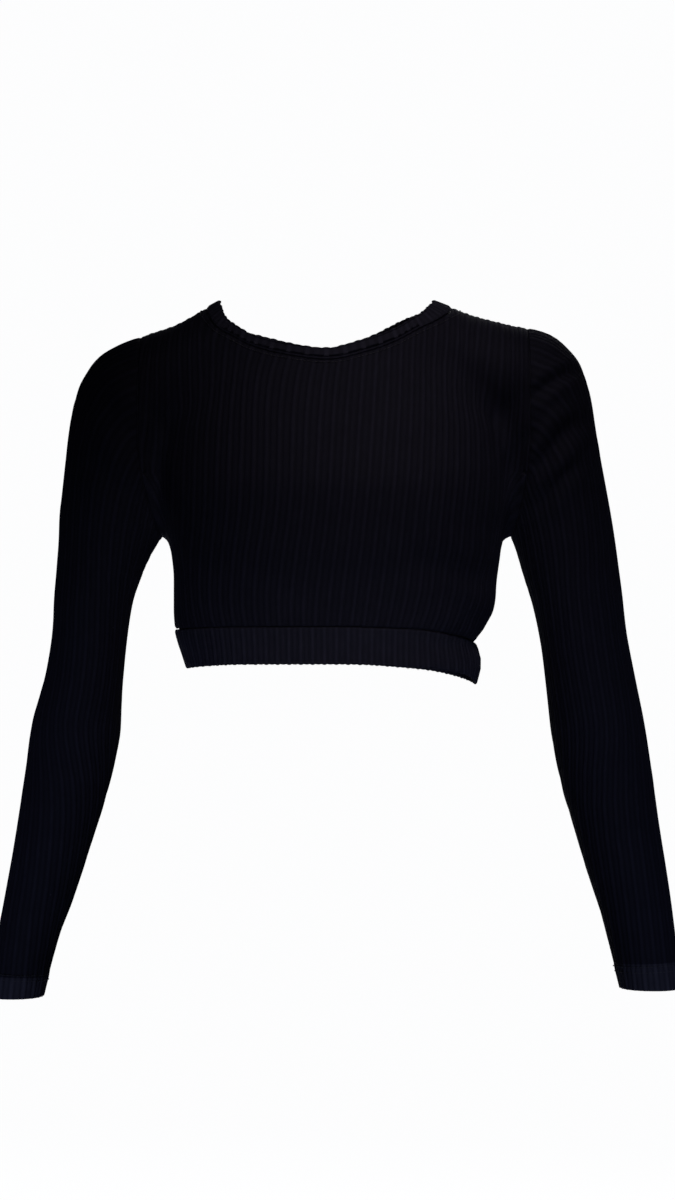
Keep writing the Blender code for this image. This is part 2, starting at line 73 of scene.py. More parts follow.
CLOTH = 0.0011  # one layer, without its ribs
HEM_CLOTH = 0.0021  # the turned hem of a sleeve
BAND_CLOTH = 0.0024  # a folded band
RIB_RISE = 0.00075  # from the groove between two ribs to the top of a rib
PAIR_SHARE = 0.55  # every second rib rises this share of the other
SEAM_GAP = 0.0005
SIDE_GAP = 0.0009
BAND_GAP = 0.0008
SEAM_DEPTH = 0.0007  # the cloth's edge turns in this far at a seam
SEAM_WIDTH = 0.0026  # and over this width
HEM_STEP = 0.0015  # over which a sleeve gets thicker at its turned hem
HEM_RIM = 0.4  # the share of its thickness that a turned hem has at its very edge
HEM_ROUND = 0.0012  # from that edge to the full thickness
HEM_FLARE = 0.0010  # the hem band stands out this far at its lower edge
FLARE_START = 0.6
RIB_START = 0.0004  # how far ribs have begun to rise at a seam
RIB_RUN = 0.003  # over which they rise in full
SEAM_REACH = 0.012
HEM_REACH = 0.004
BLEND = 0.022
FULLNESS = 2.25

# Radii that turn a gap in metres into degrees round a line.
WAIST_RADIUS = 0.125
BAND_RADIUS = 0.12
NECK_RADIUS = 0.10
ARMHOLE_RADIUS = 0.08

# How far from its start a search for the form's surface goes.
LEVEL_REACH = 0.28
ARMHOLE_REACH = 0.16
RIDGE_REACH = 0.12
RIDGE_START_Z = -0.075
SEARCH_STEPS = 60
SEARCH_HALVINGS = 22

SHOULDER_RIDGE_Y = 0.006
ARMHOLE_X = 0.168
ARMPIT_X = 0.151
ARMHOLE_NOTCH_Z = -0.113
ARMPIT_Z = {"left": -0.194, "right": -0.206}
ARMHOLE_CENTRE_Z = -0.105

SLEEVE_HEM_Z = {"left": -0.5950, "right": -0.5880}
SLEEVE_LEVEL_REACH = 0.12
SLEEVE_HEM_DEPTH = 0.020
SLEEVE_LOW_Z = -0.45  # an open edge of a sleeve below this height is its hem
CAP_STEEPNESS = 1.15
SHOULDER_REACH = 0.05
CAP_DROP = 0.034
CAP_LEAVES = 0.42
CAP_ARRIVES = 0.45
CAP_LIFT = (-0.160, -0.020)
CAP_FALL = 0.25
ARM_REACH = 0.075
ARM_STEP = 0.03

# Level sections of the torso: height, reach to each side, to the front and to the back.
TORSO = {
    "height": (0.060, 0.020, -0.010, -0.040, -0.075, -0.115, -0.160, -0.200, -0.235, -0.260,
               -0.276, -0.289, -0.304, -0.330, -0.380),
    "left": (0.035, 0.048, 0.066, 0.098, 0.132, 0.147, 0.149, 0.1425, 0.1385, 0.1385,
             0.1375, 0.1345, 0.1290, 0.1180, 0.110),
    "right": (0.035, 0.048, 0.066, 0.098, 0.132, 0.147, 0.150, 0.1450, 0.1410, 0.1380,
              0.1300, 0.1215, 0.1275, 0.1200, 0.112),
    "front": (0.030, 0.040, 0.052, 0.065, 0.083, 0.103, 0.118, 0.113, 0.102, 0.096,
              0.0935, 0.0925, 0.0925, 0.0915, 0.090),
    "back": (0.040, 0.050, 0.062, 0.074, 0.086, 0.093, 0.094, 0.089, 0.083, 0.080,
             0.0785, 0.0780, 0.0780, 0.0775, 0.077),
}

# Shoulder and arm on each side, from the neck down.
ARM_DEPTH = {
    "height": (-0.010, -0.080, -0.200, -0.371, -0.480, -0.640),
    "middle_y": (0.006, 0.006, 0.014, 0.020, 0.006, -0.022),
    "half_depth": (0.050, 0.056, 0.047, 0.043, 0.036, 0.027),
}
ARM = {
    "left": {
        "across": (0.040, 0.080, 0.120, 0.152, 0.1735, 0.1835, 0.1885, 0.1935, 0.2020, 0.2100,
                   0.2142, 0.2188, 0.2268, 0.2342, 0.2412, 0.2482, 0.2560, 0.2645, 0.2762,
                   0.286),
        "height": (-0.013, -0.033, -0.055, -0.067, -0.078, -0.105, -0.140, -0.175, -0.210, -0.248,
                   -0.287, -0.322, -0.371, -0.412, -0.444, -0.475, -0.506, -0.538, -0.596, -0.640),
        "half_width": (0.045, 0.045, 0.045, 0.0460, 0.0475, 0.0460, 0.0455, 0.0448, 0.0385, 0.0338,
                       0.0319, 0.0331, 0.0381, 0.0361, 0.0335, 0.0311, 0.0287, 0.0258, 0.0228,
                       0.0222),
    },
    "right": {
        "across": (0.035, 0.0712, 0.1100, 0.144, 0.170, 0.1765, 0.184, 0.1915, 0.1995, 0.206,
                   0.2130, 0.2186, 0.2242, 0.2320, 0.2393, 0.2459, 0.2524, 0.2598, 0.2660, 0.2760,
                   0.284),
        "height": (-0.022, -0.0347, -0.0490, -0.0577, -0.0650, -0.0820, -0.121, -0.156, -0.190,
                   -0.220, -0.252, -0.287, -0.322, -0.371, -0.412, -0.444, -0.475, -0.506, -0.538,
                   -0.596, -0.640),
        "half_width": (0.045, 0.045, 0.045, 0.045, 0.0462, 0.0462, 0.0452, 0.0445, 0.0430, 0.0412,
                       0.0385, 0.0370, 0.0382, 0.0402, 0.0389, 0.0361, 0.0340, 0.0312, 0.0288,
                       0.0254, 0.0248),
    },
}

# Lines round the waist and the neck, by the turn from the front.
HEM = {
    "turn": (-180, -130, -90, -45, 0, 40, 62, 90, 130, 180),
    "band_seam": (-0.2750, -0.2765, -0.2775, -0.2750, -0.2747, -0.2770, -0.2825, -0.2890, -0.2820,
                  -0.2750),
    "edge": (-0.3080, -0.3095, -0.3110, -0.3070, -0.3067, -0.3090, -0.3140, -0.3250, -0.3140,
             -0.3080),
}
NECK_CENTRE = (-0.006, 0.006)
NECK = {
    "turn": (-180, -150, -120, -105, -90, -75, -60, -50, -30, 0, 30, 45, 60, 75, 90, 105, 120,
             150, 180),
    "band_seam": (-0.0395, -0.0340, -0.0225, -0.0075, 0.0020, -0.0055, -0.0235, -0.0340, -0.0425,
                  -0.0478, -0.0390, -0.0305, -0.0175, -0.0045, 0.0020, -0.0035, -0.0120, -0.0290,
                  -0.0395),
    "edge": (-0.0290, -0.0235, -0.0130, -0.0010, 0.0080, 0.0027, -0.0140, -0.0245, -0.0322, -0.0372,
             -0.0280, -0.0200, -0.0080, 0.0035, 0.0080, 0.0030, -0.0030, -0.0190, -0.0290),
}

# Ribs counted from the left side seam, by the distance from the middle: on the line across
# the chest, on the line of neck and shoulders, and on both of those lines at the back.
RIBS = 72
RIB_COUNT = {
    "across": (-0.168, -0.095, -0.040, 0.010, 0.070, 0.110, 0.168),
    "chest": (2.0, 17.1, 27.3, 36.4, 47.3, 55.0, 68.0),
    "crown": (-2.4, 15.0, 25.5, 35.0, 46.4, 54.8, 67.6),
    "back": (1.0, 16.2, 27.7, 38.1, 50.6, 58.9, 71.0),
}
CHEST_ENDS = {1: (2, 68), -1: (1, 71)}
SLEEVE_RIBS = {
    "height": (-0.20, -0.35, -0.44, -0.62),
    "pitch": (0.0042, 0.0043, 0.0048, 0.0046),
    "left_twist": (0.0, 1.0, 3.0, 5.0),
    "right_twist": (0.0, 0.0, 0.5, 1.0),
}
NECK_RIBS = 104
RIB_STEPS = 6  # mesh columns for each rib

SIDE_COLUMNS = 4
SHOULDER_COLUMNS = 3
NECK_COLUMNS = 14
LOWER_ROWS = 8
UPPER_ROWS = 8
HALF_ARMHOLE = SIDE_COLUMNS + UPPER_ROWS
INNER_COLUMNS = 2 * SHOULDER_COLUMNS + NECK_COLUMNS
BODY_COLUMNS = 2 * SIDE_COLUMNS + INNER_COLUMNS
CAP_ROWS = 7
ARM_ROWS = 11
FINER = 4  # points on the form for each column or row of the layout
AXIS_POINTS = 70
LINE_POINTS = 181
CHEST_POINTS = 61
BELL_POINTS = 400
BAND_ROWS = 4
PANEL_ROWS = 40  # mesh rows below and above the armhole notch
PANEL_EDGE = 0.006  # the share of them that the rows next to a seam take
SLEEVE_ROWS = 104
SLEEVE_EDGE = 0.0015
SLEEVE_RIM = (0.0025, 0.0012)
THICK_LEVELS = 20
FORM_AT_ONCE = 2000
NEAREST_AT_ONCE = 400

CHEST_SIDE = 0.15  # where the search for the line across the chest starts
CHEST_DEPTH = {1: 0.103, -1: 0.093}

# Folds: where each starts and ends (across, height), how far its middle bows to the left of
# its way, depth in, half width, and the rise of the cloth beside it. Face 1 is the front.
FOLDS = (
    # face, start, end, bow, depth, half width, rise
    (1, (0.170, -0.080), (0.211, -0.053), 0.003, 0.0046, 0.0045, 0.0020),
    (1, (0.176, -0.142), (0.214, -0.096), 0.004, 0.0046, 0.0070, 0.0022),
    (1, (0.176, -0.176), (0.210, -0.134), 0.003, 0.0030, 0.0060, 0.0014),
    (1, (0.150, -0.150), (0.172, -0.106), 0.004, 0.0022, 0.0060, 0.0008),
    (1, (-0.172, -0.120), (-0.204, -0.080), -0.004, 0.0020, 0.0090, 0.0010),
    (1, (-0.176, -0.168), (-0.214, -0.134), -0.003, 0.0022, 0.0080, 0.0010),
    (1, (-0.150, -0.158), (-0.166, -0.112), -0.003, 0.0016, 0.0070, 0.0006),
    (1, (0.060, -0.214), (0.136, -0.236), -0.004, 0.0020, 0.0120, 0.0006),
    (1, (0.084, -0.246), (0.132, -0.268), -0.003, 0.0014, 0.0080, 0.0006),
    (-1, (0.168, -0.090), (0.214, -0.060), 0.003, 0.0030, 0.0070, 0.0014),
    (-1, (0.172, -0.150), (0.218, -0.104), 0.004, 0.0034, 0.0080, 0.0014),
    (-1, (-0.168, -0.110), (-0.210, -0.072), -0.003, 0.0028, 0.0075, 0.0012),
    (-1, (-0.172, -0.162), (-0.212, -0.122), -0.004, 0.0026, 0.0080, 0.0012),
    (-1, (-0.132, -0.176), (-0.080, -0.205), 0.004, 0.0020, 0.0100, 0.0006),
    (-1, (0.134, -0.180), (0.070, -0.212), -0.004, 0.0022, 0.0110, 0.0006),
    (-1, (-0.085, -0.252), (0.050, -0.246), -0.004, 0.0018, 0.0090, 0.0010),
    (-1, (-0.020, -0.232), (0.110, -0.238), 0.005, 0.0016, 0.0085, 0.0008),
)
FOLD_RUN_OUT = 0.15  # share of its length that a fold goes on past each end
FOLD_FADE = 0.4  # share of its length over which it fades
FACE_FADE = 0.02  # depth over which a fold ends at the side of the garment
RIDGE_AWAY = 2.1  # half widths from the trough to the ridge beside it
RIDGE_WIDTH = 0.9

# A stitch from one end to the other; rise and width are shares of the thread's radius.
STITCH = {
    "place": (0, 0.12, 0.5, 0.88, 1),
    "rise": (-1.2, 0.3, 0.7, 0.3, -1.2),
    "width": (0.5, 0.95, 1.0, 0.95, 0.5),
}
STITCH_SIDES = 6
THREAD_RADIUS = 0.00028
HEM_STITCHES = (0.0032, 0.0027)  # from one stitch to the next, and the length of one
NECK_STITCHES = (0.0034, 0.0028)
HEM_STITCH_ROWS = (0.0006, 0.0052)  # below the top of the turned hem
NECK_STITCH_DROP = 0.0030  # below the neckband's seam


# ---------------------------------------------------------------- smooth tables


def smooth(at, places, values):
    """Reads a table at any place, along a curve with no overshoot between its rows."""
    order = np.argsort(places)
    x = np.asarray(places, float)[order]
    v = np.asarray(values, float)[order]
    at = np.clip(at, x[0], x[-1])
    step = np.diff(x)
    rise = np.diff(v) / step
    slope = np.zeros_like(v)
    same_way = rise[:-1] * rise[1:] > 0
    before = 2 * step[1:] + step[:-1]
    after = step[1:] + 2 * step[:-1]
    safe_low = np.where(same_way, rise[:-1], 1.0)
    safe_high = np.where(same_way, rise[1:], 1.0)
    mean = (before + after) / (before / safe_low + after / safe_high)
    slope[1:-1] = np.where(same_way, mean, 0.0)
    slope[0] = rise[0]
    slope[-1] = rise[-1]
    i = np.clip(np.searchsorted(x, at) - 1, 0, len(x) - 2)
    t = (at - x[i]) / step[i]
    return (
        (1 + 2 * t) * (1 - t) ** 2 * v[i]
        + t * (1 - t) ** 2 * step[i] * slope[i]
        + t * t * (3 - 2 * t) * v[i + 1]
        + t * t * (t - 1) * step[i] * slope[i + 1]
    )


def eased(t):
    t = np.clip(t, 0, 1)
    return t * t * (3 - 2 * t)


def unit(vectors):
    return vectors / np.linalg.norm(vectors, axis=1)[:, None]


def walked(points):
    """Length along a row of points up to each of them."""
    return np.concatenate(([0], np.cumsum(np.linalg.norm(np.diff(points, axis=0), axis=1))))


def along_line(at, length, line):
    """Points, or directions, at places along a line whose points lie at those lengths."""
    return np.stack([np.interp(at, length, line[:, k]) for k in range(3)], axis=1)


def curve_weights(count, at, closed=False):
    """Weights that read a smooth curve through count even points at the places at."""
    at = np.asarray(at, float)
    last = count if closed else count - 1
    i = np.clip(np.floor(at).astype(int), 0, last - 1)
    t = at - i
    weights = np.zeros((len(at), count))
    shares = (
        (-t + 2 * t * t - t**3) / 2,
        (2 - 5 * t * t + 3 * t**3) / 2,
        (t + 4 * t * t - 3 * t**3) / 2,
        (-t * t + t**3) / 2,
    )
    row = np.arange(len(at))
    for k, share in enumerate(shares):
        j = i + k - 1
        if closed:
            np.add.at(weights, (row, j % count), share)
            continue
        # Past an end the curve goes straight on: point -1 is twice point 0 less point 1.
        below = j < 0
        above = j > count - 1
        inside = ~below & ~above
        np.add.at(weights, (row[inside], j[inside]), share[inside])
        np.add.at(weights, (row[below], 0), 2 * share[below])
        np.add.at(weights, (row[below], 1), -share[below])
        np.add.at(weights, (row[above], count - 1), 2 * share[above])
        np.add.at(weights, (row[above], count - 2), -share[above])
    return weights


def finer_grid(grid, closed=False):
    """The grid with FINER times the rows and columns, on smooth curves."""
    rows, columns, _ = grid.shape
    down = curve_weights(rows, np.arange((rows - 1) * FINER + 1) / FINER)
    if closed:
        across = curve_weights(columns, np.arange(columns * FINER) / FINER, True)
    else:
        across = curve_weights(columns, np.arange((columns - 1) * FINER + 1) / FINER)
    return np.einsum("ai,ijk,bj->abk", down, grid, across)


# ---------------------------------------------------------------- the form


def torso_distance(points):
    x, y, z = points.T
    height = TORSO["height"]
    side = np.where(x < 0, smooth(z, height, TORSO["left"]), smooth(z, height, TORSO["right"]))
    depth = np.where(y < 0, smooth(z, height, TORSO["front"]), smooth(z, height, TORSO["back"]))
    share = (np.abs(x / side) ** FULLNESS + np.abs(y / depth) ** FULLNESS) ** (1 / FULLNESS)
    tiny = 1e-4
    share = np.maximum(share, tiny)
    return np.hypot(x, y) * (1 - 1 / share) - 0.02 * (share < 2 * tiny)


def arm_axis(side):
    """Points down the middle of a shoulder and arm, with half width and half depth."""
    table = ARM[side]
    sign = -1 if side == "left" else 1
    across = np.array(table["across"])
    height = np.array(table["height"])
    length = np.concatenate(([0], np.cumsum(np.hypot(np.diff(across), np.diff(height)))))
    at = np.linspace(0, length[-1], AXIS_POINTS)
    x = sign * smooth(at, length, across)
    z = smooth(at, length, height)
    width = smooth(at, length, table["half_width"])
    y = smooth(z, ARM_DEPTH["height"], ARM_DEPTH["middle_y"])
    depth = smooth(z, ARM_DEPTH["height"], ARM_DEPTH["half_depth"])
    return np.stack((x, y, z), axis=1), width, depth


AXES = {side: arm_axis(side) for side in ARM}


def arm_distance(points, side):
    axis, width, depth = AXES[side]
    start = axis[:-1]
    along = np.diff(axis, axis=0)
    level = along[:, 0] ** 2 + along[:, 2] ** 2
    squeeze = width / depth
    more_squeeze = np.diff(squeeze)
    more_width = np.diff(width)
    best = np.empty(len(points))
    for first in range(0, len(points), FORM_AT_ONCE):
        part = slice(first, first + FORM_AT_ONCE)
        away_x = points[part, 0, None] - start[:, 0]
        away_y = points[part, 1, None] - start[:, 1]
        away_z = points[part, 2, None] - start[:, 2]
        t = np.clip((away_x * along[:, 0] + away_z * along[:, 2]) / level, 0, 1)
        x = away_x - t * along[:, 0]
        z = away_z - t * along[:, 2]
        y = (away_y - t * along[:, 1]) * (squeeze[:-1] + t * more_squeeze)
        distance = np.sqrt(x * x + y * y + z * z) - width[:-1] - t * more_width
        best[part] = distance.min(axis=1)
    return best


def form(points):
    """How far points lie outside the form."""
    a = torso_distance(points)
    b = np.minimum(arm_distance(points, "left"), arm_distance(points, "right"))
    near = np.maximum(BLEND - np.abs(a - b), 0) / BLEND
    return np.minimum(a, b) - near * near * BLEND / 4


def form_slope(points):
    reach = 0.0008
    slope = np.empty_like(points)
    for axis in range(3):
        step = np.zeros(3)
        step[axis] = reach
        slope[:, axis] = (form(points + step) - form(points - step)) / (2 * reach)
    return slope


def onto_form(points, rounds=6):
    """Moves points to the form along its slope."""
    points = np.array(points, float)
    for _ in range(rounds):
        here = form(points)
        slope = form_slope(points)
        size = np.maximum((slope**2).sum(axis=1), 0.2)
        points -= slope * (here / size)[:, None]
    return points


def grid_onto_form(grid, rounds=3):
    return onto_form(grid.reshape(-1, 3), rounds).reshape(grid.shape)


def with_normals(grid):
    """The grid with each point's direction out of the form after its place."""
    slope = form_slope(grid.reshape(-1, 3)).reshape(grid.shape)
    slope /= np.linalg.norm(slope, axis=2)[:, :, None]
    return np.concatenate((grid, slope), axis=2)


def out_of_form(count, path, reach):
    """First place where each of a count of paths leaves the form."""
    steps = np.linspace(0, reach, SEARCH_STEPS)
    low = np.zeros(count)
    high = np.full(count, reach)
    found = np.zeros(count, bool)
    for start, end in zip(steps[:-1], steps[1:]):
        leaves = (form(path(np.full(count, end))) > 0) & ~found
        low[leaves] = start
        high[leaves] = end
        found |= leaves
        if found.all():
            break
    for _ in range(SEARCH_HALVINGS):
        middle = (low + high) / 2
        outside = form(path(middle)) > 0
        high = np.where(outside, middle, high)
        low = np.where(outside, low, middle)
    return path((low + high) / 2)


# ---------------------------------------------------------------- seam lines


def level_point(turn, height, centre=(0.0, 0.0)):
    turn = np.radians(np.atleast_1d(turn))
    height = np.broadcast_to(height, turn.shape)

    def path(t):
        x = centre[0] + t * np.sin(turn)
        y = centre[1] - t * np.cos(turn)
        return np.stack((x, y, height), axis=1)

    return out_of_form(len(turn), path, LEVEL_REACH)


def armhole_x(height, side, shift):
    drop = np.clip((ARMHOLE_NOTCH_Z - height) / (ARMHOLE_NOTCH_Z - ARMPIT_Z[side]), 0, 1.3)
    reach = ARMHOLE_X - (ARMHOLE_X - ARMPIT_X) * drop**2
    return (reach + shift) * (-1 if side == "left" else 1)


def armhole(side, turn, shift):
    """The armhole seam, by degrees from the armpit over the front to the shoulder and on."""
    turn = np.radians(np.atleast_1d(turn))

    def path(t):
        height = ARMHOLE_CENTRE_Z - t * np.cos(turn)
        return np.stack((armhole_x(height, side, shift), -t * np.sin(turn), height), axis=1)

    return out_of_form(len(turn), path, ARMHOLE_REACH)


def ridge_point(across, y):
    """The top of the shoulder."""
    across = np.atleast_1d(across)

    def path(t):
        return np.stack((across, np.full_like(across, y), RIDGE_START_Z + t), axis=1)

    return out_of_form(len(across), path, RIDGE_REACH)


def line_height(table, row, turn):
    turn = (np.asarray(turn) + 180) % 360 - 180
    return smooth(turn, table["turn"], table[row])


def neck_line(row, turn, shift):
    turn = np.atleast_1d(turn)
    return level_point(turn, line_height(NECK, row, turn) + shift, NECK_CENTRE)


def hem_line(row, turn, shift):
    turn = np.atleast_1d(turn)
    return level_point(turn, line_height(HEM, row, turn) + shift)


def spaced(line, start, end, count, crowding=0.0):
    """Turns that space a count of points along a line, more closely at its ends if crowded."""
    turns = np.linspace(start, end, LINE_POINTS)
    length = walked(line(turns))
    share = np.linspace(0, 1, count)
    share -= crowding * np.sin(2 * math.pi * share) / (2 * math.pi)
    return np.interp(share * length[-1], length, turns)


def armhole_stations():
    """Turns round half an armhole, from the armpit up, spaced as under a sleeve cap."""
    place = np.linspace(0, 1, BELL_POINTS)
    bell = CAP_STEEPNESS * (1 - np.cos(math.pi * place)) / 2
    length = np.concatenate(([0], np.cumsum(np.hypot(np.diff(place), np.diff(bell)))))
    even = np.linspace(0, 1, HALF_ARMHOLE * FINER + 1)
    share = np.interp(even, place, length / length[-1])
    turns = np.linspace(0, 180, LINE_POINTS)
    walk = walked(armhole("right", turns, 0))
    return np.interp(share * walk[-1], walk, turns)


def stations(line, columns, crowding=0.0):
    """Turns along a line from the left side round the front (face 1) and the back (-1)."""
    return {
        face: spaced(
            lambda t: line("band_seam", t, 0), -90, face * 180 - 90, columns * FINER + 1, crowding
        )
        for face in (1, -1)
    }


AROUND = armhole_stations()
ALL_ROUND = np.concatenate((AROUND, 360 - AROUND[-2:0:-1]))
WAIST = stations(hem_line, BODY_COLUMNS)
NECKLINE = stations(neck_line, NECK_COLUMNS, crowding=0.4)


# ---------------------------------------------------------------- panels on the form


def held_back(turns, radius):
    """The turns with the first and last held back by half a seam's gap."""
    turns = np.array(turns)
    inward = math.degrees(SEAM_GAP / 2 / radius) * np.sign(turns[-1] - turns[0])
    turns[0] += inward
    turns[-1] -= inward
    return turns


def relaxed(grid, places, rounds=12):
    """The grid with its columns straightened on the form, its rows at their places."""
    step = np.diff(places)[:, None, None]
    below = step[1:] / (step[1:] + step[:-1])
    for turn in range(rounds):
        mean = below * grid[:-2] + (1 - below) * grid[2:]
        grid[1:-1] = grid_onto_form(mean, 5 if turn == rounds - 1 else 1)
    return grid


def chest_line(start, end):
    """Points evenly spaced across the chest or the back, from one armhole to the other."""
    face = -np.sign(start[1])
    depth = CHEST_DEPTH[face]
    first, last = (math.atan2(point[0], abs(point[1])) for point in (start, end))
    turn = np.linspace(first, last, CHEST_POINTS)
    share = np.linspace(0, 1, CHEST_POINTS)[:, None]
    guess = np.stack((CHEST_SIDE * np.sin(turn), -face * depth * np.cos(turn), 0 * turn), axis=1)
    guess += (1 - share) * (start - guess[0]) + share * (end - guess[-1])
    guess[1:-1] = onto_form(guess[1:-1])
    walk = walked(guess)
    at = np.linspace(0, walk[-1], INNER_COLUMNS * FINER + 1)
    line = along_line(at, walk, guess)
    line[1:-1] = onto_form(line[1:-1], 2)
    return line


def body_panel(face):
    """Fine grids of the front (face 1) or back (-1), below and above the armhole notch."""
    half = SEAM_GAP / 2
    half_side = SIDE_GAP / 2
    side = SIDE_COLUMNS * FINER
    around = AROUND * face
    under = around[: side + 1].copy()
    under[0] = face * math.degrees(half_side / (ARMHOLE_CENTRE_Z - ARMPIT_Z["right"]))
    left = armhole("left", under, -half)
    right = armhole("right", under, -half)[::-1]
    chest = chest_line(left[-1], right[0])
    top = np.concatenate((left, chest[1:-1], right))
    bottom = hem_line("band_seam", held_back(WAIST[face], WAIST_RADIUS), BAND_GAP / 2)

    def coarse(line):
        return line[::FINER]

    share = np.linspace(0, 1, LOWER_ROWS + 1)[:, None, None]
    lower = coarse(bottom) + share * (coarse(top) - coarse(bottom))
    lower[1:-1] = grid_onto_form(lower[1:-1])
    lower = relaxed(lower, share[:, 0, 0])
    lower = finer_grid(lower)
    rows = len(lower)
    v = np.linspace(0, 1, rows)[:, None, None]
    lower += v**4 * (top - lower[-1]) + (1 - v) ** 4 * (bottom - lower[0])
    lower[1:-1] = grid_onto_form(lower[1:-1])
    lower[:, (0, -1), 1] = -face * half_side
    lower[0] = bottom
    lower[-1] = top

    neck = neck_line("band_seam", held_back(NECKLINE[face], NECK_RADIUS), -half)
    ridge_y = SHOULDER_RIDGE_Y - face * half
    shoulders = []
    for name, end in (("left", neck[0]), ("right", neck[-1])):
        tip = armhole(name, 180, -half)[0]
        across = np.linspace(tip[0], end[0], SHOULDER_COLUMNS * FINER + 1)[:-1]
        shoulders.append(ridge_point(across, ridge_y))
    crown = np.concatenate((shoulders[0], neck, shoulders[1][::-1]))
    climb = around[side:].copy()
    climb[-1] -= face * math.degrees(half / ARMHOLE_RADIUS)
    armholes = [armhole(name, climb, -half) for name in ("left", "right")]
    walk = walked(armholes[0])
    rise = walk / walk[-1]
    base = coarse(chest)
    line = coarse(crown)
    across = np.linspace(0, 1, INNER_COLUMNS + 1)[:, None]
    over_shoulder = np.clip(1 + face * line[:, 1:2] / SHOULDER_REACH, 0, 1)
    upper = [base]
    for row in range(1, UPPER_ROWS):
        t = rise[row * FINER]
        guess = base + t * (line - base)
        bows = [edge[row * FINER] - (edge[0] + t * (edge[-1] - edge[0])) for edge in armholes]
        guess += over_shoulder * ((1 - across) * bows[0] + across * bows[1])
        guess[1:-1] = onto_form(guess[1:-1])
        upper.append(guess)
    upper.append(line)
    upper = relaxed(np.array(upper), rise[::FINER])
    upper[:, 0] = coarse(armholes[0])
    upper[:, -1] = coarse(armholes[1])
    upper = finer_grid(upper)
    v = np.linspace(0, 1, len(upper))[:, None, None]
    upper += v**4 * (crown - upper[-1]) + (1 - v) ** 4 * (chest - upper[0])
    u = np.linspace(0, 1, upper.shape[1])[None, :, None]
    upper += (1 - u) ** 6 * (armholes[0] - upper[:, 0])[:, None]
    upper += u**6 * (armholes[1] - upper[:, -1])[:, None]
    upper[1:-1, 1:-1] = grid_onto_form(upper[1:-1, 1:-1])
    upper[0] = chest
    upper[-1] = crown
    return lower, upper


def ring_round_arm(side, height, turns):
    sign = -1 if side == "left" else 1
    axis = AXES[side][0]
    middle, below = (
        np.array([np.interp(-z, -axis[:, 2], axis[:, k]) for k in range(3)])
        for z in (height, height - ARM_STEP)
    )
    along = (below - middle) / np.linalg.norm(below - middle)
    tilt = min(max((height - SLEEVE_HEM_Z[side]) / SLEEVE_LEVEL_REACH, 0), 1)
    inward = np.array((-sign, 0.0, 0.0)) + tilt * along * sign * along[0]
    front = np.array((0.0, -1.0, 0.0)) + tilt * along * along[1]
    inward /= np.linalg.norm(inward)
    front /= np.linalg.norm(front)
    way = np.cos(turns)[:, None] * inward + np.sin(turns)[:, None] * front

    def path(t):
        return middle + t[:, None] * way

    return out_of_form(len(turns), path, ARM_REACH)


def up_the_arm(side, points):
    """How far points lie up the arm from the sleeve's lower edge."""
    edge = ring_round_arm(side, SLEEVE_HEM_Z[side], np.radians((0, 120, 240)))
    up = np.cross(edge[1] - edge[0], edge[2] - edge[0])
    up *= np.sign(up[2]) / np.linalg.norm(up)
    return (points - edge[0]) @ up


def sleeve_panel(side):
    """Fine grid of a sleeve: rows from the armhole down, columns from the underarm round."""
    half = SEAM_GAP / 2
    sign = -1 if side == "left" else 1
    seam = armhole(side, ALL_ROUND, half)
    coarse_seam = seam[::FINER]
    turns = np.linspace(0, 2 * math.pi, len(coarse_seam) + 1)[:-1]
    top_height = ARMPIT_Z[side] - CAP_DROP
    first = ring_round_arm(side, top_height, turns)
    length = np.linalg.norm(first - coarse_seam, axis=1)[:, None]
    low, high = CAP_LIFT
    lifted = np.clip((coarse_seam[:, 2:3] - low) / (high - low), 0, 1)
    leave = coarse_seam + np.array((sign, 0.0, -CAP_FALL)) * lifted * length * CAP_LEAVES
    arrive = first + np.array((0.0, 0.0, 1.0)) * length * CAP_ARRIVES
    rows = [coarse_seam]
    for row in range(1, CAP_ROWS):
        t = row / CAP_ROWS
        guess = (1 - t) ** 3 * coarse_seam + 3 * t * (1 - t) ** 2 * leave
        guess += 3 * t * t * (1 - t) * arrive + t**3 * first
        rows.append(onto_form(guess))
    for height in np.linspace(top_height, SLEEVE_HEM_Z[side], ARM_ROWS + 1):
        rows.append(ring_round_arm(side, height, turns))
    grid = finer_grid(np.array(rows), True)
    v = np.clip(1 - np.arange(len(grid)) / (2 * FINER), 0, 1)[:, None, None]
    grid += v**3 * (seam - grid[0])
    grid[1:] = grid_onto_form(grid[1:])
    grid[0] = seam
    return np.concatenate((grid, grid[:, :1]), axis=1)


# ---------------------------------------------------------------- ribs and folds


def rib_rise(rib):
    """Height of the knit above its grooves, by the count of ribs."""
    ridge = np.abs(np.cos(math.pi * rib))
    pair = (1 + PAIR_SHARE + (1 - PAIR_SHARE) * np.cos(math.pi * rib)) / 2
    return RIB_RISE * (ridge * pair - 0.5)


def rib_fade(away):
    """The share of their height that ribs have, by the distance from a seam."""
    return eased((away + RIB_START) / RIB_RUN)


def fold_rise(points):
    """How far the listed folds move the cloth out at points of the form."""
    x, y, z = points.T
    total = np.zeros(len(points))
    for face, start, end, bow, depth, width, rise in FOLDS:
        way = np.subtract(end, start)
        length = math.hypot(*way)
        way /= length
        along = ((x - start[0]) * way[0] + (z - start[1]) * way[1]) / length
        beside = (z - start[1]) * way[0] - (x - start[0]) * way[1]
        beside = beside - bow * 4 * along * (1 - along)
        ends = eased((along + FOLD_RUN_OUT) / FOLD_FADE)
        ends *= eased((1 + FOLD_RUN_OUT - along) / FOLD_FADE)
        here = eased(0.5 - face * y / FACE_FADE)
        trough = np.exp(-((beside / width) ** 2))
        ridge = np.exp(-(((np.abs(beside) - RIDGE_AWAY * width) / (RIDGE_WIDTH * width)) ** 2))
        total += here * ends * (rise * ridge - depth * trough)
    return total


# ---------------------------------------------------------------- meshes


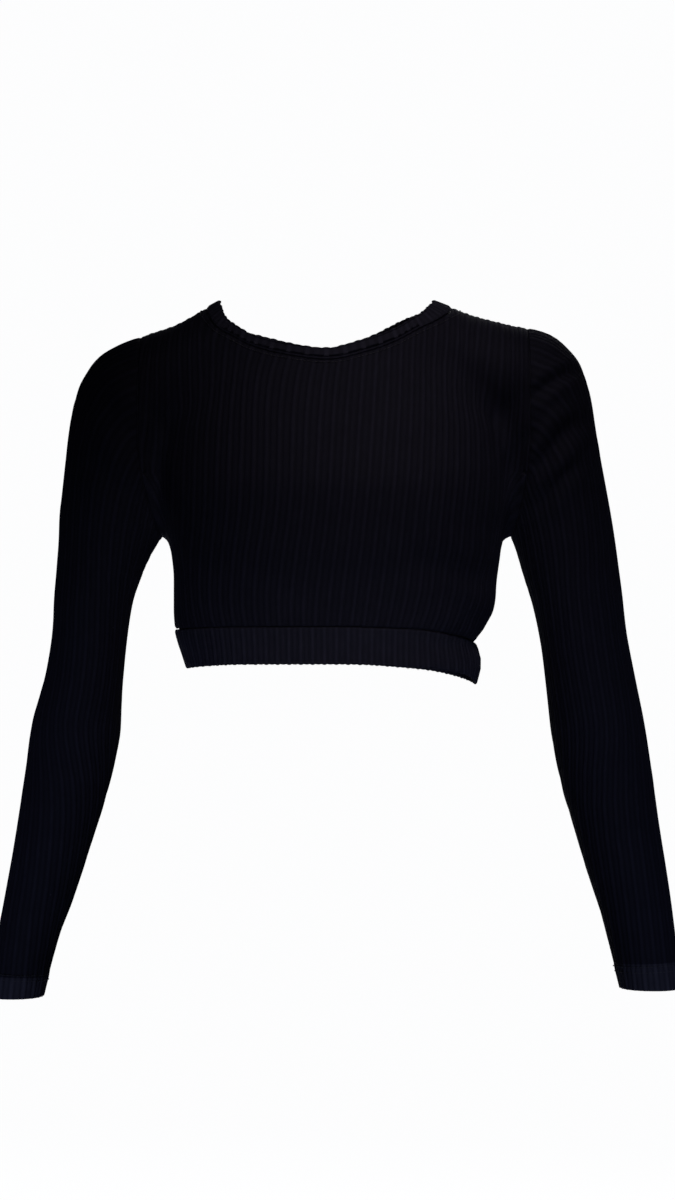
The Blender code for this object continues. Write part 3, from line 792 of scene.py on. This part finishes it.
def rows_between(count, first_step=None, last_step=None):
    """Places from 0 to 1, more closely by an end that has a first or last step."""
    places = np.linspace(0, 1, count + 1)
    extra = []
    if first_step:
        extra += [first_step, 2 * first_step]
    if last_step:
        extra += [1 - last_step, 1 - 2 * last_step]
    return np.unique(np.concatenate((places, extra)).round(7))


def ribbed_rows(grid, ribs, places):
    """Points and mesh columns along lines of equal rib count.

    grid holds place and normal, ribs the rib count at each grid point and places the rows
    to make, from 0 to 1. Columns end where the count passes the grid's edge.
    """
    rows, columns, _ = grid.shape
    down = curve_weights(rows, places * (rows - 1))
    grid = np.einsum("ai,ijk->ajk", down, grid)
    ribs = down @ ribs
    length = np.linalg.norm(np.diff(grid[:, :, :3], axis=0), axis=2).mean(axis=1)
    height = np.concatenate(([0], np.cumsum(length)))
    made = []
    for row, line, at_row in zip(grid, ribs, height):
        first = math.ceil(line[0] * RIB_STEPS + 0.4)
        last = math.floor(line[-1] * RIB_STEPS - 0.4)
        rib = np.concatenate(([line[0]], np.arange(first, last + 1) / RIB_STEPS, [line[-1]]))
        at = np.interp(rib, line, np.arange(columns))
        values = curve_weights(columns, at) @ row
        made.append((first - 1, last + 1, values, rib, at_row))
    return made


def rows_to_mesh(made, flip):
    """Vertices, faces and knit coordinates of rows made by ribbed_rows."""
    starts = np.concatenate(([0], np.cumsum([len(row[3]) for row in made])))
    points = np.concatenate([row[2] for row in made])
    knit = np.concatenate(
        [np.stack((row[3], np.full(len(row[3]), row[4])), axis=1) for row in made]
    )
    faces = []
    for r in range(len(made) - 1):
        low, high = made[r], made[r + 1]
        span = np.arange(min(low[0], high[0]), max(low[1], high[1]))

        def index(row, start, column):
            return start + np.clip(column, row[0], row[1]) - row[0]

        corners = np.stack(
            (
                index(low, starts[r], span),
                index(low, starts[r], span + 1),
                index(high, starts[r + 1], span + 1),
                index(high, starts[r + 1], span),
            ),
            axis=1,
        )
        if flip:
            corners = corners[:, ::-1]
        for quad in corners.tolist():
            face = list(dict.fromkeys(quad))
            if len(face) > 2:
                faces.append(face)
    return points, faces, knit


def merged_mesh(name, parts):
    """One mesh from several (points, faces, knit), joined where their points meet.

    Returns the mesh and each vertex's normal of the form.
    """
    points, faces, knit, first = [], [], [], 0
    for part_points, part_faces, part_knit in parts:
        points.append(part_points)
        knit.append(part_knit)
        faces += [[first + i for i in face] for face in part_faces]
        first += len(part_points)
    points = np.concatenate(points)
    knit = np.concatenate(knit)
    mesh = bpy.data.meshes.new(name)
    mesh.from_pydata(points[:, :3].tolist(), [], faces)
    corner = np.empty(len(mesh.loops), np.int32)
    mesh.loops.foreach_get("vertex_index", corner)
    layer = mesh.uv_layers.new(name="knit")
    layer.uv.foreach_set("vector", knit[corner].astype(np.float32).ravel())
    normal = mesh.attributes.new("out", "FLOAT_VECTOR", "POINT")
    normal.data.foreach_set("vector", points[:, 3:6].astype(np.float32).ravel())
    rib = mesh.attributes.new("rib", "FLOAT", "POINT")
    rib.data.foreach_set("value", knit[:, 0].astype(np.float32))
    bm = bmesh.new()
    bm.from_mesh(mesh)
    bmesh.ops.remove_doubles(bm, verts=bm.verts, dist=0.00001)
    bmesh.ops.dissolve_degenerate(bm, dist=0.000001, edges=bm.edges)
    bm.to_mesh(mesh)
    bm.free()
    return mesh


def read(mesh, name, size):
    values = np.empty(len(mesh.vertices) * size, np.float32)
    if name == "co":
        mesh.vertices.foreach_get("co", values)
    else:
        mesh.attributes[name].data.foreach_get("vector" if size == 3 else "value", values)
    return values.reshape(-1, size).astype(float)


def edge_points(mesh):
    """Which vertices lie on the mesh's open edges."""
    bm = bmesh.new()
    bm.from_mesh(mesh)
    bm.verts.ensure_lookup_table()
    on_edge = np.array([v.is_boundary for v in bm.verts])
    bm.free()
    return on_edge


def nearest(points, targets, reach):
    """Distance from each point to the nearest target, no more than reach."""
    best = np.full(len(points), reach)
    order = np.argsort(targets[:, 2])
    targets = targets[order]
    for first in range(0, len(points), NEAREST_AT_ONCE):
        part = points[first : first + NEAREST_AT_ONCE]
        low = np.searchsorted(targets[:, 2], part[:, 2].min() - reach)
        high = np.searchsorted(targets[:, 2], part[:, 2].max() + reach)
        if high > low:
            away = np.linalg.norm(part[:, None] - targets[None, low:high], axis=2).min(axis=1)
            best[first : first + NEAREST_AT_ONCE] = np.minimum(away, reach)
    return best


def tube_faces(rows, count, closed=True):
    """Quads round a tube of rows of points; one that isn't closed has a face on each end."""
    faces = []
    for r in range(rows):
        s = (r + 1) % rows
        for c in range(count if closed else count - 1):
            d = (c + 1) % count
            faces.append([r * count + c, s * count + c, s * count + d, r * count + d])
    if not closed:
        faces.append([r * count for r in range(rows)])
        faces.append([r * count + count - 1 for r in range(rows)][::-1])
    return faces


def faced_out(mesh):
    """The mesh with its faces turned outwards."""
    bm = bmesh.new()
    bm.from_mesh(mesh)
    bmesh.ops.recalc_face_normals(bm, faces=bm.faces)
    bm.to_mesh(mesh)
    bm.free()
    return mesh


def displaced(mesh, hem_height=None):
    """Raises the ribs and folds of a panel and turns its edges in at the seams.

    Returns each vertex's distance from the free hem, if there is one.
    """
    points = read(mesh, "co", 3)
    out = unit(read(mesh, "out", 3))
    rib = read(mesh, "rib", 1)[:, 0]
    on_edge = edge_points(mesh)
    seams = points[on_edge]
    hem = None
    if hem_height is not None:
        hem = points[on_edge & (points[:, 2] < hem_height)]
        seams = points[on_edge & (points[:, 2] >= hem_height)]
    away = nearest(points, seams, SEAM_REACH)
    turn_in = SEAM_DEPTH * (1 - eased(away / SEAM_WIDTH))
    rise = rib_rise(rib) * rib_fade(away) + fold_rise(points) - turn_in
    points += out * rise[:, None]
    mesh.vertices.foreach_set("co", points.astype(np.float32).ravel())
    mesh.update()
    return None if hem is None else nearest(points, hem, HEM_REACH)


# ---------------------------------------------------------------- materials


WALES = 3.0  # rows of stitches side by side on a rib
COURSE = 0.0015  # from one stitch to the next along a wale


def knit_material(name, ridge, painted_groove_shade, lift):
    """Ribbed jersey: the knit coordinates are rib count and metres along the rib."""
    material = bpy.data.materials.new(name)
    material.use_nodes = True
    tree = material.node_tree
    nodes, links = tree.nodes, tree.links
    shader = nodes["Principled BSDF"]

    def put(kind, **settings):
        node = nodes.new(kind)
        for key, value in settings.items():
            setattr(node, key, value)
        return node

    def calc(operation, a, b=0.0, c=0.0):
        node = put("ShaderNodeMath", operation=operation)
        for slot, value in enumerate((a, b, c)):
            if isinstance(value, (int, float)):
                node.inputs[slot].default_value = value
            else:
                links.new(value, node.inputs[slot])
        return node.outputs[0]

    def noise(scale, detail, stretch=None):
        node = put("ShaderNodeTexNoise")
        node.inputs["Scale"].default_value = scale
        node.inputs["Detail"].default_value = detail
        if stretch:
            mapping = put("ShaderNodeMapping")
            mapping.inputs["Scale"].default_value = stretch
            links.new(coordinates.outputs["UV"], mapping.inputs["Vector"])
            links.new(mapping.outputs[0], node.inputs["Vector"])
        else:
            links.new(coordinates.outputs["Object"], node.inputs["Vector"])
        return node.outputs["Fac"]

    coordinates = put("ShaderNodeTexCoord")
    knit = put("ShaderNodeUVMap", uv_map="knit")
    split = put("ShaderNodeSeparateXYZ")
    links.new(knit.outputs[0], split.inputs[0])
    rib, along = split.outputs[0], split.outputs[1]

    # The ridge of each rib, every second one a little stronger, painted lighter than the groove: a
    # painted highlight on the rib tops and painted shade in the grooves.
    wave = calc("ABSOLUTE", calc("COSINE", calc("MULTIPLY", rib, math.pi)))
    ridge_highlight_share = calc("POWER", wave, 2.0)
    pair = calc("MULTIPLY_ADD", calc("COSINE", calc("MULTIPLY", rib, math.pi)), 0.24, 0.76)
    ridge_highlight_share = calc("MULTIPLY", ridge_highlight_share, pair)

    # Each wale is a chain of V-shaped stitches.
    wale = calc("ABSOLUTE", calc("SUBTRACT", calc("FRACT", calc("MULTIPLY", rib, WALES)), 0.5))
    chain = calc("ADD", calc("MULTIPLY", along, 1 / COURSE), calc("MULTIPLY", wale, -1.5))
    chain = calc("MULTIPLY_ADD", calc("SINE", calc("MULTIPLY", chain, 2 * math.pi)), 0.5, 0.5)
    stitch = calc("MULTIPLY", chain, calc("SUBTRACT", 1.0, calc("MULTIPLY", wale, 1.6)))

    uneven = calc("MULTIPLY_ADD", noise(35.0, 3.0), 0.5, 0.75)
    streaks = calc("MULTIPLY_ADD", noise(1.0, 2.0, (1.4, 90.0, 1.0)), 0.7, 0.65)
    # Painted highlight and shade: the rib tops lift the colour towards the lighter ridge colour,
    # and the grooves keep the darker groove colour.
    light = calc("MULTIPLY_ADD", ridge_highlight_share, 0.52, 0.30)
    light = calc("ADD", light, calc("MULTIPLY", stitch, 0.12))
    light = calc("MULTIPLY", calc("MULTIPLY", light, uneven), streaks)
    colour = put("ShaderNodeMix", data_type="RGBA")
    links.new(light, colour.inputs["Factor"])
    colour.inputs["A"].default_value = (*painted_groove_shade, 1)
    colour.inputs["B"].default_value = (*ridge, 1)

    # A few specks of lint.
    specks = put("ShaderNodeTexVoronoi")
    specks.inputs["Scale"].default_value = 38.0
    links.new(coordinates.outputs["Object"], specks.inputs["Vector"])
    near = calc("LESS_THAN", specks.outputs["Distance"], 0.022)
    chosen = put("ShaderNodeSeparateColor")
    links.new(specks.outputs["Color"], chosen.inputs[0])
    speck = calc("MULTIPLY", near, calc("GREATER_THAN", chosen.outputs[0], 0.72))
    with_lint = put("ShaderNodeMix", data_type="RGBA")
    links.new(speck, with_lint.inputs["Factor"])
    links.new(colour.outputs["Result"], with_lint.inputs["A"])
    with_lint.inputs["B"].default_value = (0.05, 0.05, 0.065, 1)
    links.new(with_lint.outputs["Result"], shader.inputs["Base Color"])

    fuzz = noise(900.0, 2.0)
    height = calc("ADD", calc("MULTIPLY", stitch, 0.8), calc("MULTIPLY", fuzz, 0.5))
    bump = put("ShaderNodeBump")
    bump.inputs["Strength"].default_value = 0.6
    bump.inputs["Distance"].default_value = 0.00025
    links.new(height, bump.inputs["Height"])
    links.new(bump.outputs[0], shader.inputs["Normal"])
    shader.inputs["Roughness"].default_value = 0.82
    shader.inputs["Specular IOR Level"].default_value = 0.12
    shader.inputs["Sheen Weight"].default_value = lift
    shader.inputs["Sheen Roughness"].default_value = 0.45
    shader.inputs["Sheen Tint"].default_value = (0.55, 0.55, 0.95, 1)
    return material


def thread_material():
    material = bpy.data.materials.new("thread")
    material.use_nodes = True
    tree = material.node_tree
    shader = tree.nodes["Principled BSDF"]
    coordinates = tree.nodes.new("ShaderNodeTexCoord")
    twist = tree.nodes.new("ShaderNodeTexNoise")
    twist.inputs["Scale"].default_value = 1500.0
    tree.links.new(coordinates.outputs["Object"], twist.inputs["Vector"])
    colour = tree.nodes.new("ShaderNodeMix")
    colour.data_type = "RGBA"
    colour.inputs["A"].default_value = (0.006, 0.006, 0.010, 1)
    colour.inputs["B"].default_value = (0.013, 0.012, 0.019, 1)
    tree.links.new(twist.outputs["Fac"], colour.inputs["Factor"])
    tree.links.new(colour.outputs["Result"], shader.inputs["Base Color"])
    shader.inputs["Roughness"].default_value = 0.6
    return material


# The knit's two colours are a painted highlight on the rib tops and painted shade in the grooves.
# The band and hem copies are painted lighter for the light those parts catch.
KNIT = knit_material("rib_knit", (0.0105, 0.0098, 0.0185), (0.0012, 0.0011, 0.0034), 0.010)
BAND_KNIT_PAINTED_LIGHTER = knit_material("rib_band", (0.0185, 0.0175, 0.0290), (0.0030, 0.0028, 0.0060), 0.014)
HEM_KNIT_PAINTED_LIGHTER = knit_material("rib_hem_painted_lighter", (0.0320, 0.0305, 0.0450), (0.0060, 0.0056, 0.0110), 0.020)
THREAD = thread_material()


# ---------------------------------------------------------------- pieces


def finished(name, mesh, material, node=None, thickness=None, thick_share=None):
    """The piece as an object that rides on the frame and stands for its node."""
    for attribute in ("out", "rib"):
        if attribute in mesh.attributes:
            mesh.attributes.remove(mesh.attributes[attribute])
    if material:
        mesh.materials.append(material)
    mesh.shade_smooth()
    piece = bpy.data.objects.new(name, mesh)
    scene.collection.objects.link(piece)
    if thickness:
        wall = piece.modifiers.new("thickness", "SOLIDIFY")
        wall.thickness = thickness
        wall.offset = 0
        if thick_share is not None:
            group = piece.vertex_groups.new(name="thick")
            levels = np.round(thick_share * THICK_LEVELS).astype(int)
            for level in np.unique(levels):
                chosen = np.flatnonzero(levels == level).tolist()
                group.add(chosen, level / THICK_LEVELS, "REPLACE")
            wall.vertex_group = group.name
    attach(piece, "root")
    if node:
        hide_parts(node)
    return piece


def front_or_back(name, face):
    lower, upper = (with_normals(grid) for grid in body_panel(face))
    side = SIDE_COLUMNS * FINER
    row = "chest" if face > 0 else "back"
    crown_row = "crown" if face > 0 else "back"
    first, last = CHEST_ENDS[face]

    def count(line, table_row, ends=None):
        ribs = smooth(line[:, 0], RIB_COUNT["across"], RIB_COUNT[table_row])
        # The count has to grow from point to point.
        ribs = np.maximum.accumulate(ribs + np.arange(len(ribs)) * 1e-6)
        if ends:
            share = (ribs - ribs[0]) / (ribs[-1] - ribs[0])
            ribs = ends[0] + share * (ends[1] - ends[0])
        return ribs

    chest = count(upper[0], row, (first, last))
    at_waist = np.linspace(0, RIBS, lower.shape[1])
    at_top = np.concatenate(
        (np.linspace(0, first, side + 1)[:-1], chest, np.linspace(last, RIBS, side + 1)[1:])
    )
    share = eased(np.linspace(0, 1, len(lower)))[:, None]
    low_ribs = (1 - share) * at_waist + share * at_top
    crown = count(upper[-1], crown_row)
    share = np.linspace(0, 1, len(upper))[:, None]
    high_ribs = (1 - share) * chest + share * crown
    low_rows = ribbed_rows(lower, low_ribs, rows_between(PANEL_ROWS, PANEL_EDGE))
    high_rows = ribbed_rows(upper, high_ribs, rows_between(PANEL_ROWS, None, PANEL_EDGE))
    high_rows = [(*r[:4], r[4] + low_rows[-1][4]) for r in high_rows]
    parts = [rows_to_mesh(rows, face < 0) for rows in (low_rows, high_rows)]
    mesh = merged_mesh(name, parts)
    displaced(mesh)
    return finished(name, mesh, KNIT, name.replace("knit_", ""), CLOTH)


def sleeve(name, side):
    """A sleeve, and the rows that its mesh was made from."""
    grid = with_normals(sleeve_panel(side))
    rows, columns, _ = grid.shape
    height = grid[:, :, 2].mean(axis=1)
    half_round = np.linalg.norm(np.diff(grid[:, :, :3], axis=1), axis=2).sum(axis=1) / 2
    arm = CAP_ROWS * FINER
    height = np.where(np.arange(rows) < arm, height[arm], height)
    half_round = np.where(np.arange(rows) < arm, half_round[arm], half_round)
    reach = half_round / smooth(height, SLEEVE_RIBS["height"], SLEEVE_RIBS["pitch"])
    twist = smooth(height, SLEEVE_RIBS["height"], SLEEVE_RIBS[f"{side}_twist"])
    ribs = np.linspace(-1, 1, columns) * reach[:, None] + twist[:, None]
    rim = [1 - share for share in SLEEVE_RIM]
    places = np.concatenate((rows_between(SLEEVE_ROWS, SLEEVE_EDGE), rim))
    made = ribbed_rows(grid, ribs, np.unique(places))
    mesh = merged_mesh(name, [rows_to_mesh(made, side == "right")])
    away = displaced(mesh, SLEEVE_LOW_Z)
    points = read(mesh, "co", 3)
    up = up_the_arm(side, points)
    folded = eased((SLEEVE_HEM_DEPTH - up) / HEM_STEP)
    share = (CLOTH + (HEM_CLOTH - CLOTH) * folded) / HEM_CLOTH
    share *= HEM_RIM + (1 - HEM_RIM) * np.sqrt(np.clip(away / HEM_ROUND, 0, 1))
    row_heights = [up_the_arm(side, row[2][:, :3]).mean() for row in made]
    fold = min(row_heights, key=lambda height: abs(height - SLEEVE_HEM_DEPTH))
    mesh.materials.append(KNIT)
    # The turned hem takes the lighter copy of the knit: painted light where the hem catches light.
    mesh.materials.append(HEM_KNIT_PAINTED_LIGHTER)
    for polygon in mesh.polygons:
        if up[list(polygon.vertices)].mean() < fold:
            polygon.material_index = 1
    return finished(name, mesh, None, f"{side}_sleeve", HEM_CLOTH, share), made


# Round a folded band's section: share of its height, metres more, place through the
# thickness (1 outside, -1 inside), and the way it faces: along the cloth and out of it.
BAND_SECTION = (
    (0, 0.0000, 0.10, -0.9, 0.4),
    (0, 0.0004, 0.55, -0.6, 0.8),
    (0, 0.0012, 0.85, -0.2, 1.0),
    (0, 0.0024, 1.00, 0.0, 1.0),
    (0.2, 0, 1.00, 0.0, 1.0),
    (0.4, 0, 1.00, 0.0, 1.0),
    (0.6, 0, 1.00, 0.0, 1.0),
    (0.75, 0, 1.00, 0.0, 1.0),
    (0.88, 0, 1.00, 0.0, 1.0),
    (1, -0.0018, 1.00, 0.0, 1.0),
    (1, -0.0009, 0.85, 0.4, 0.9),
    (1, -0.0003, 0.50, 0.8, 0.6),
    (1, 0.0000, 0.00, 1.0, 0.0),
    (1, -0.0003, -0.50, 0.8, -0.6),
    (1, -0.0009, -0.85, 0.4, -0.9),
    (1, -0.0020, -1.00, 0.0, -1.0),
    (0.7, 0, -1.00, 0.0, -1.0),
    (0.35, 0, -1.00, 0.0, -1.0),
    (0, 0.0015, -1.00, 0.0, -1.0),
    (0, 0.0004, -0.55, -0.6, -0.8),
    (0, 0.0000, -0.10, -0.9, -0.4),
)


# Across and up, round the section of a seam allowance.
ALLOWANCE_SECTION = (
    (-0.0055, -0.0002), (-0.0055, 0.0002), (0.0, 0.0004), (0.0055, 0.0002),
    (0.0055, -0.0002), (0.0, -0.0004),
)
ALLOWANCE_DEPTH = 0.0030  # the middle of the allowance lies this far inside the form
ALLOWANCE_STEP = 0.006  # from one section to the next


def band(name, line, turns, shift, ribs, first_rib, node, flare, closed):
    """A folded band: a closed tube of cloth, flat, with the fold at its free edge."""
    seam = line("band_seam", turns, shift)
    edge = line("edge", turns, 0)
    grid = np.array([seam + t * (edge - seam) for t in np.linspace(0, 1, BAND_ROWS + 1)])
    grid[1:-1] = grid_onto_form(grid[1:-1])
    grid = with_normals(grid)
    columns = len(turns)
    steps = ribs * RIB_STEPS
    if closed:
        across = curve_weights(columns, np.arange(steps) / steps * columns, True)
    else:
        across = curve_weights(columns, np.linspace(0, columns - 1, steps + 1))
    grid = np.einsum("ijk,bj->ibk", grid, across)
    rib = first_rib + np.arange(across.shape[0]) / RIB_STEPS
    tall = np.linalg.norm(grid[-1, :, :3] - grid[0, :, :3], axis=1)
    down = unit(grid[-1, :, :3] - grid[0, :, :3])
    raised = rib_rise(rib)
    pick = np.arange(len(rib))
    points, knit = [], []
    for share, more, depth, along_way, out_way in BAND_SECTION:
        at = np.clip(share + more / tall, 0, 1)
        i = np.minimum((at * BAND_ROWS).astype(int), BAND_ROWS - 1)
        t = (at * BAND_ROWS - i)[:, None]
        here = (1 - t) * grid[i, pick] + t * grid[i + 1, pick]
        out = unit(here[:, 3:])
        lift = depth * BAND_CLOTH / 2 + flare * eased((at - FLARE_START) / (1 - FLARE_START))
        place = here[:, :3] + out * lift[:, None]
        place += (out * out_way + down * along_way) * (raised * rib_fade(at * tall))[:, None]
        points.append(place)
        knit.append(np.stack((rib, at * tall), axis=1))
    faces = tube_faces(len(points), len(rib), closed)
    points = np.concatenate(points)
    points = np.concatenate((points, np.zeros_like(points)), axis=1)
    mesh = faced_out(merged_mesh(name, [(points, faces, np.concatenate(knit))]))
    # Bands take the lighter copy of the knit: painted light where they catch light.
    return finished(name, mesh, BAND_KNIT_PAINTED_LIGHTER, node)


def stitches(name, path, out, pitch, length):
    """A row of short stitches along a closed path that lies on the cloth."""
    ring = np.concatenate((path, path[:1]))
    normal = np.concatenate((out, out[:1]))
    walk = walked(ring)
    count = round(walk[-1] / pitch)
    pitch = walk[-1] / count
    share = np.array(STITCH["place"]) * length / pitch
    at = ((np.arange(count)[:, None] + share) * pitch).ravel()
    rise = np.array(STITCH["rise"]) * THREAD_RADIUS
    wide = np.array(STITCH["width"]) * THREAD_RADIUS
    middle = along_line(at, walk, ring)
    up = unit(along_line(at, walk, normal))
    way = along_line(at + 0.0005, walk, ring) - middle
    way /= np.maximum(np.linalg.norm(way, axis=1), 1e-9)[:, None]
    beside = np.cross(way, up)
    middle = middle + up * np.tile(rise, count)[:, None]
    sides = STITCH_SIDES
    rings = len(wide)
    turn = np.arange(sides) * 2 * math.pi / sides
    ringed = np.tile(wide, count)[:, None, None] * (
        np.cos(turn)[None, :, None] * up[:, None] + np.sin(turn)[None, :, None] * beside[:, None]
    )
    points = (middle[:, None] + ringed).reshape(-1, 3)
    faces = []
    for stitch in range(count):
        base = stitch * rings * sides
        for r in range(rings - 1):
            for s in range(sides):
                t = (s + 1) % sides
                a = base + r * sides
                faces.append((a + s, a + t, a + sides + t, a + sides + s))
        faces.append([base + s for s in range(sides)][::-1])
        faces.append([base + (rings - 1) * sides + s for s in range(sides)])
    mesh = bpy.data.meshes.new(name)
    mesh.from_pydata(points.tolist(), [], faces)
    return finished(name, faced_out(mesh), THREAD)


def seam_allowance(name, path):
    """The two raw edges of a closed seam, overlocked together and pressed flat inside."""
    ring = np.concatenate((path, path[:1]))
    length = walked(ring)
    count = round(length[-1] / ALLOWANCE_STEP)
    middle = along_line(np.linspace(0, length[-1], count + 1), length, ring)[:-1]
    way = unit(np.roll(middle, -1, axis=0) - np.roll(middle, 1, axis=0))
    out = unit(form_slope(middle))
    beside = unit(np.cross(way, out))
    points = []
    for across, rise in ALLOWANCE_SECTION:
        line = onto_form(middle + beside * across, 2)
        points.append(line + out * (rise - ALLOWANCE_DEPTH))
    mesh = bpy.data.meshes.new(name)
    faces = tube_faces(len(points), count)
    mesh.from_pydata(np.concatenate(points).tolist(), [], faces)
    return finished(name, faced_out(mesh), THREAD)


front = front_or_back("knit_front", 1)
back = front_or_back("knit_back", -1)

sleeves = {}
hem_stitches = {}
for side in ("left", "right"):
    sleeves[side], made = sleeve(f"knit_{side}_sleeve", side)
    # Two rows of stitches hold the turned hem.
    threads = []
    for number, drop in enumerate(HEM_STITCH_ROWS, 1):
        height = SLEEVE_HEM_Z[side] + SLEEVE_HEM_DEPTH - drop
        row = min(made, key=lambda r: abs(r[2][:, 2].mean() - height))
        place, out = row[2][:-1, :3], row[2][:-1, 3:6]
        raised = np.maximum(rib_rise(row[3][:-1]), 0) * 0.8
        lifted = place + out * (HEM_CLOTH / 2 + raised)[:, None]
        lifted[:, 2] += height - place[:, 2].mean()
        threads.append(stitches(f"{side}_hem_stitches_{number}", lifted, out, *HEM_STITCHES))
    hem_stitches[side] = threads

neck_turns = np.concatenate((NECKLINE[1], NECKLINE[-1][-2:0:-1]))
neckband = band(
    "knit_neckband", neck_line, neck_turns, SEAM_GAP / 2, NECK_RIBS, 0, "neckband", 0.0, True
)
for face, node in ((1, "hem_band_front"), (-1, "hem_band_back")):
    turns = held_back(WAIST[face], BAND_RADIUS)
    band(
        f"knit_{node}", hem_line, turns, -BAND_GAP / 2, RIBS, 0.5, node, HEM_FLARE, False
    )

# Topstitching on the body, just below the neckband.
under_band = neck_line("band_seam", neck_turns, -NECK_STITCH_DROP)
out = unit(form_slope(under_band))
on_cloth = under_band + out * (CLOTH / 2 + RIB_RISE * 0.45)
neck_stitches = stitches("neck_stitches", on_cloth, out, *NECK_STITCHES)

# The seams' allowances, inside.
full_turn = np.arange(0, 360, 3)
allowances = [
    seam_allowance("waist_allowance", hem_line("band_seam", full_turn, 0)),
    seam_allowance("neck_allowance", neck_line("band_seam", full_turn, 0)),
]
for side in ("left", "right"):
    path = armhole(side, ALL_ROUND, 0)
    allowances.append(seam_allowance(f"{side}_armhole_allowance", path))

# ---------------------------------------------------------------- hem stitches of each sleeve, as a list

for side, area in (("left", 0.115), ("right", 0.118)):
    extras = hem_stitches[side]
    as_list(extras)

# ---------------------------------------------------------------- stage and light

FLOOR_Z = -1.35  # the floor under someone who wears the top
FLOOR_RADIUS = 7.0
RIM_RADIUS = 2.5
RIM_HEIGHT = 9.0
RIM_STEPS = 12
FLOOR_SIDES = 96


def stage_floor():
    """A pale floor that curves up into a wall all round."""
    profile = [(0.0, 0.0), (FLOOR_RADIUS, 0.0)]
    for step in range(1, RIM_STEPS + 1):
        turn = step / RIM_STEPS * math.pi / 2
        radius = FLOOR_RADIUS + RIM_RADIUS * math.sin(turn)
        profile.append((radius, RIM_RADIUS * (1 - math.cos(turn))))
    profile.append((FLOOR_RADIUS + RIM_RADIUS, RIM_HEIGHT))
    points = [(0, 0, FLOOR_Z)]
    sides = FLOOR_SIDES
    for radius, height in profile[1:]:
        for s in range(sides):
            turn = s / sides * 2 * math.pi
            points.append((radius * math.cos(turn), radius * math.sin(turn), FLOOR_Z + height))
    faces = [(0, 1 + s, 1 + (s + 1) % sides) for s in range(sides)]
    for r in range(len(profile) - 2):
        for s in range(sides):
            a = 1 + r * sides
            t = (s + 1) % sides
            faces.append((a + s, a + sides + s, a + sides + t, a + t))
    mesh = bpy.data.meshes.new("floor")
    mesh.from_pydata(points, [], faces)
    mesh.shade_smooth()
    material = bpy.data.materials.new("pale_floor")
    material.use_nodes = True
    shader = material.node_tree.nodes["Principled BSDF"]
    shader.inputs["Base Color"].default_value = (0.85, 0.85, 0.85, 1)
    shader.inputs["Roughness"].default_value = 0.9
    shader.inputs["Emission Color"].default_value = (1, 1, 1, 1)
    shader.inputs["Emission Strength"].default_value = 0.97
    mesh.materials.append(material)
    floor = bpy.data.objects.new("floor", mesh)
    floor.visible_diffuse = False
    floor.visible_glossy = False
    scene.collection.objects.link(floor)


def light(name, kind, place, target, size, power, colour, cone=None):
    """A lamp of that size that points at target; a spot has a cone and soft edges."""
    data = bpy.data.lights.new(name, kind)
    if kind == "AREA":
        data.shape = "DISK"
        data.size = size
    else:
        data.shadow_soft_size = size
        data.spot_size = cone
        data.spot_blend = 1.0
    data.energy = power
    data.color = colour
    lamp = bpy.data.objects.new(name, data)
    lamp.location = place
    way = np.subtract(target, place)
    lamp.rotation_euler = (
        math.atan2(math.hypot(way[0], way[1]), -way[2]),
        0,
        math.atan2(way[1], way[0]) - math.pi / 2,
    )
    scene.collection.objects.link(lamp)


stage_floor()
KEY_CONE = math.radians(25)
LOW_CONE = math.radians(22)
FOREARM_CONE = math.radians(34)
place, target = (0.22, -0.76, 0.84), (0.060, -0.10, -0.06)
light("key", "SPOT", place, target, 0.10, 22, (1.0, 0.92, 0.95), KEY_CONE)
place, target = (0.02, -1.00, -0.80), (0.0, -0.12, -0.29)
light("waist", "SPOT", place, target, 0.16, 13, (0.80, 0.84, 1.0), LOW_CONE)
for sign in (-1, 1):
    place, target = (sign * 0.50, -0.90, -0.95), (sign * 0.26, -0.05, -0.49)
    light("forearm", "SPOT", place, target, 0.14, 16, (0.62, 0.72, 1.0), FOREARM_CONE)
light("rear", "AREA", (0.7, 2.4, 1.2), (0.0, 0.0, -0.2), 1.4, 7, (0.95, 0.96, 1.0))
light("rear_low", "AREA", (-0.6, 2.0, -1.0), (0.0, 0.0, -0.3), 1.0, 4, (0.90, 0.92, 1.0))
world = bpy.data.worlds.new("world")
world.use_nodes = True
sky = world.node_tree.nodes["Background"]
sky.inputs["Color"].default_value = (0.60, 0.70, 1.0, 1)
sky.inputs["Strength"].default_value = 0.02
scene.world = world
scene.view_settings.view_transform = "Standard"
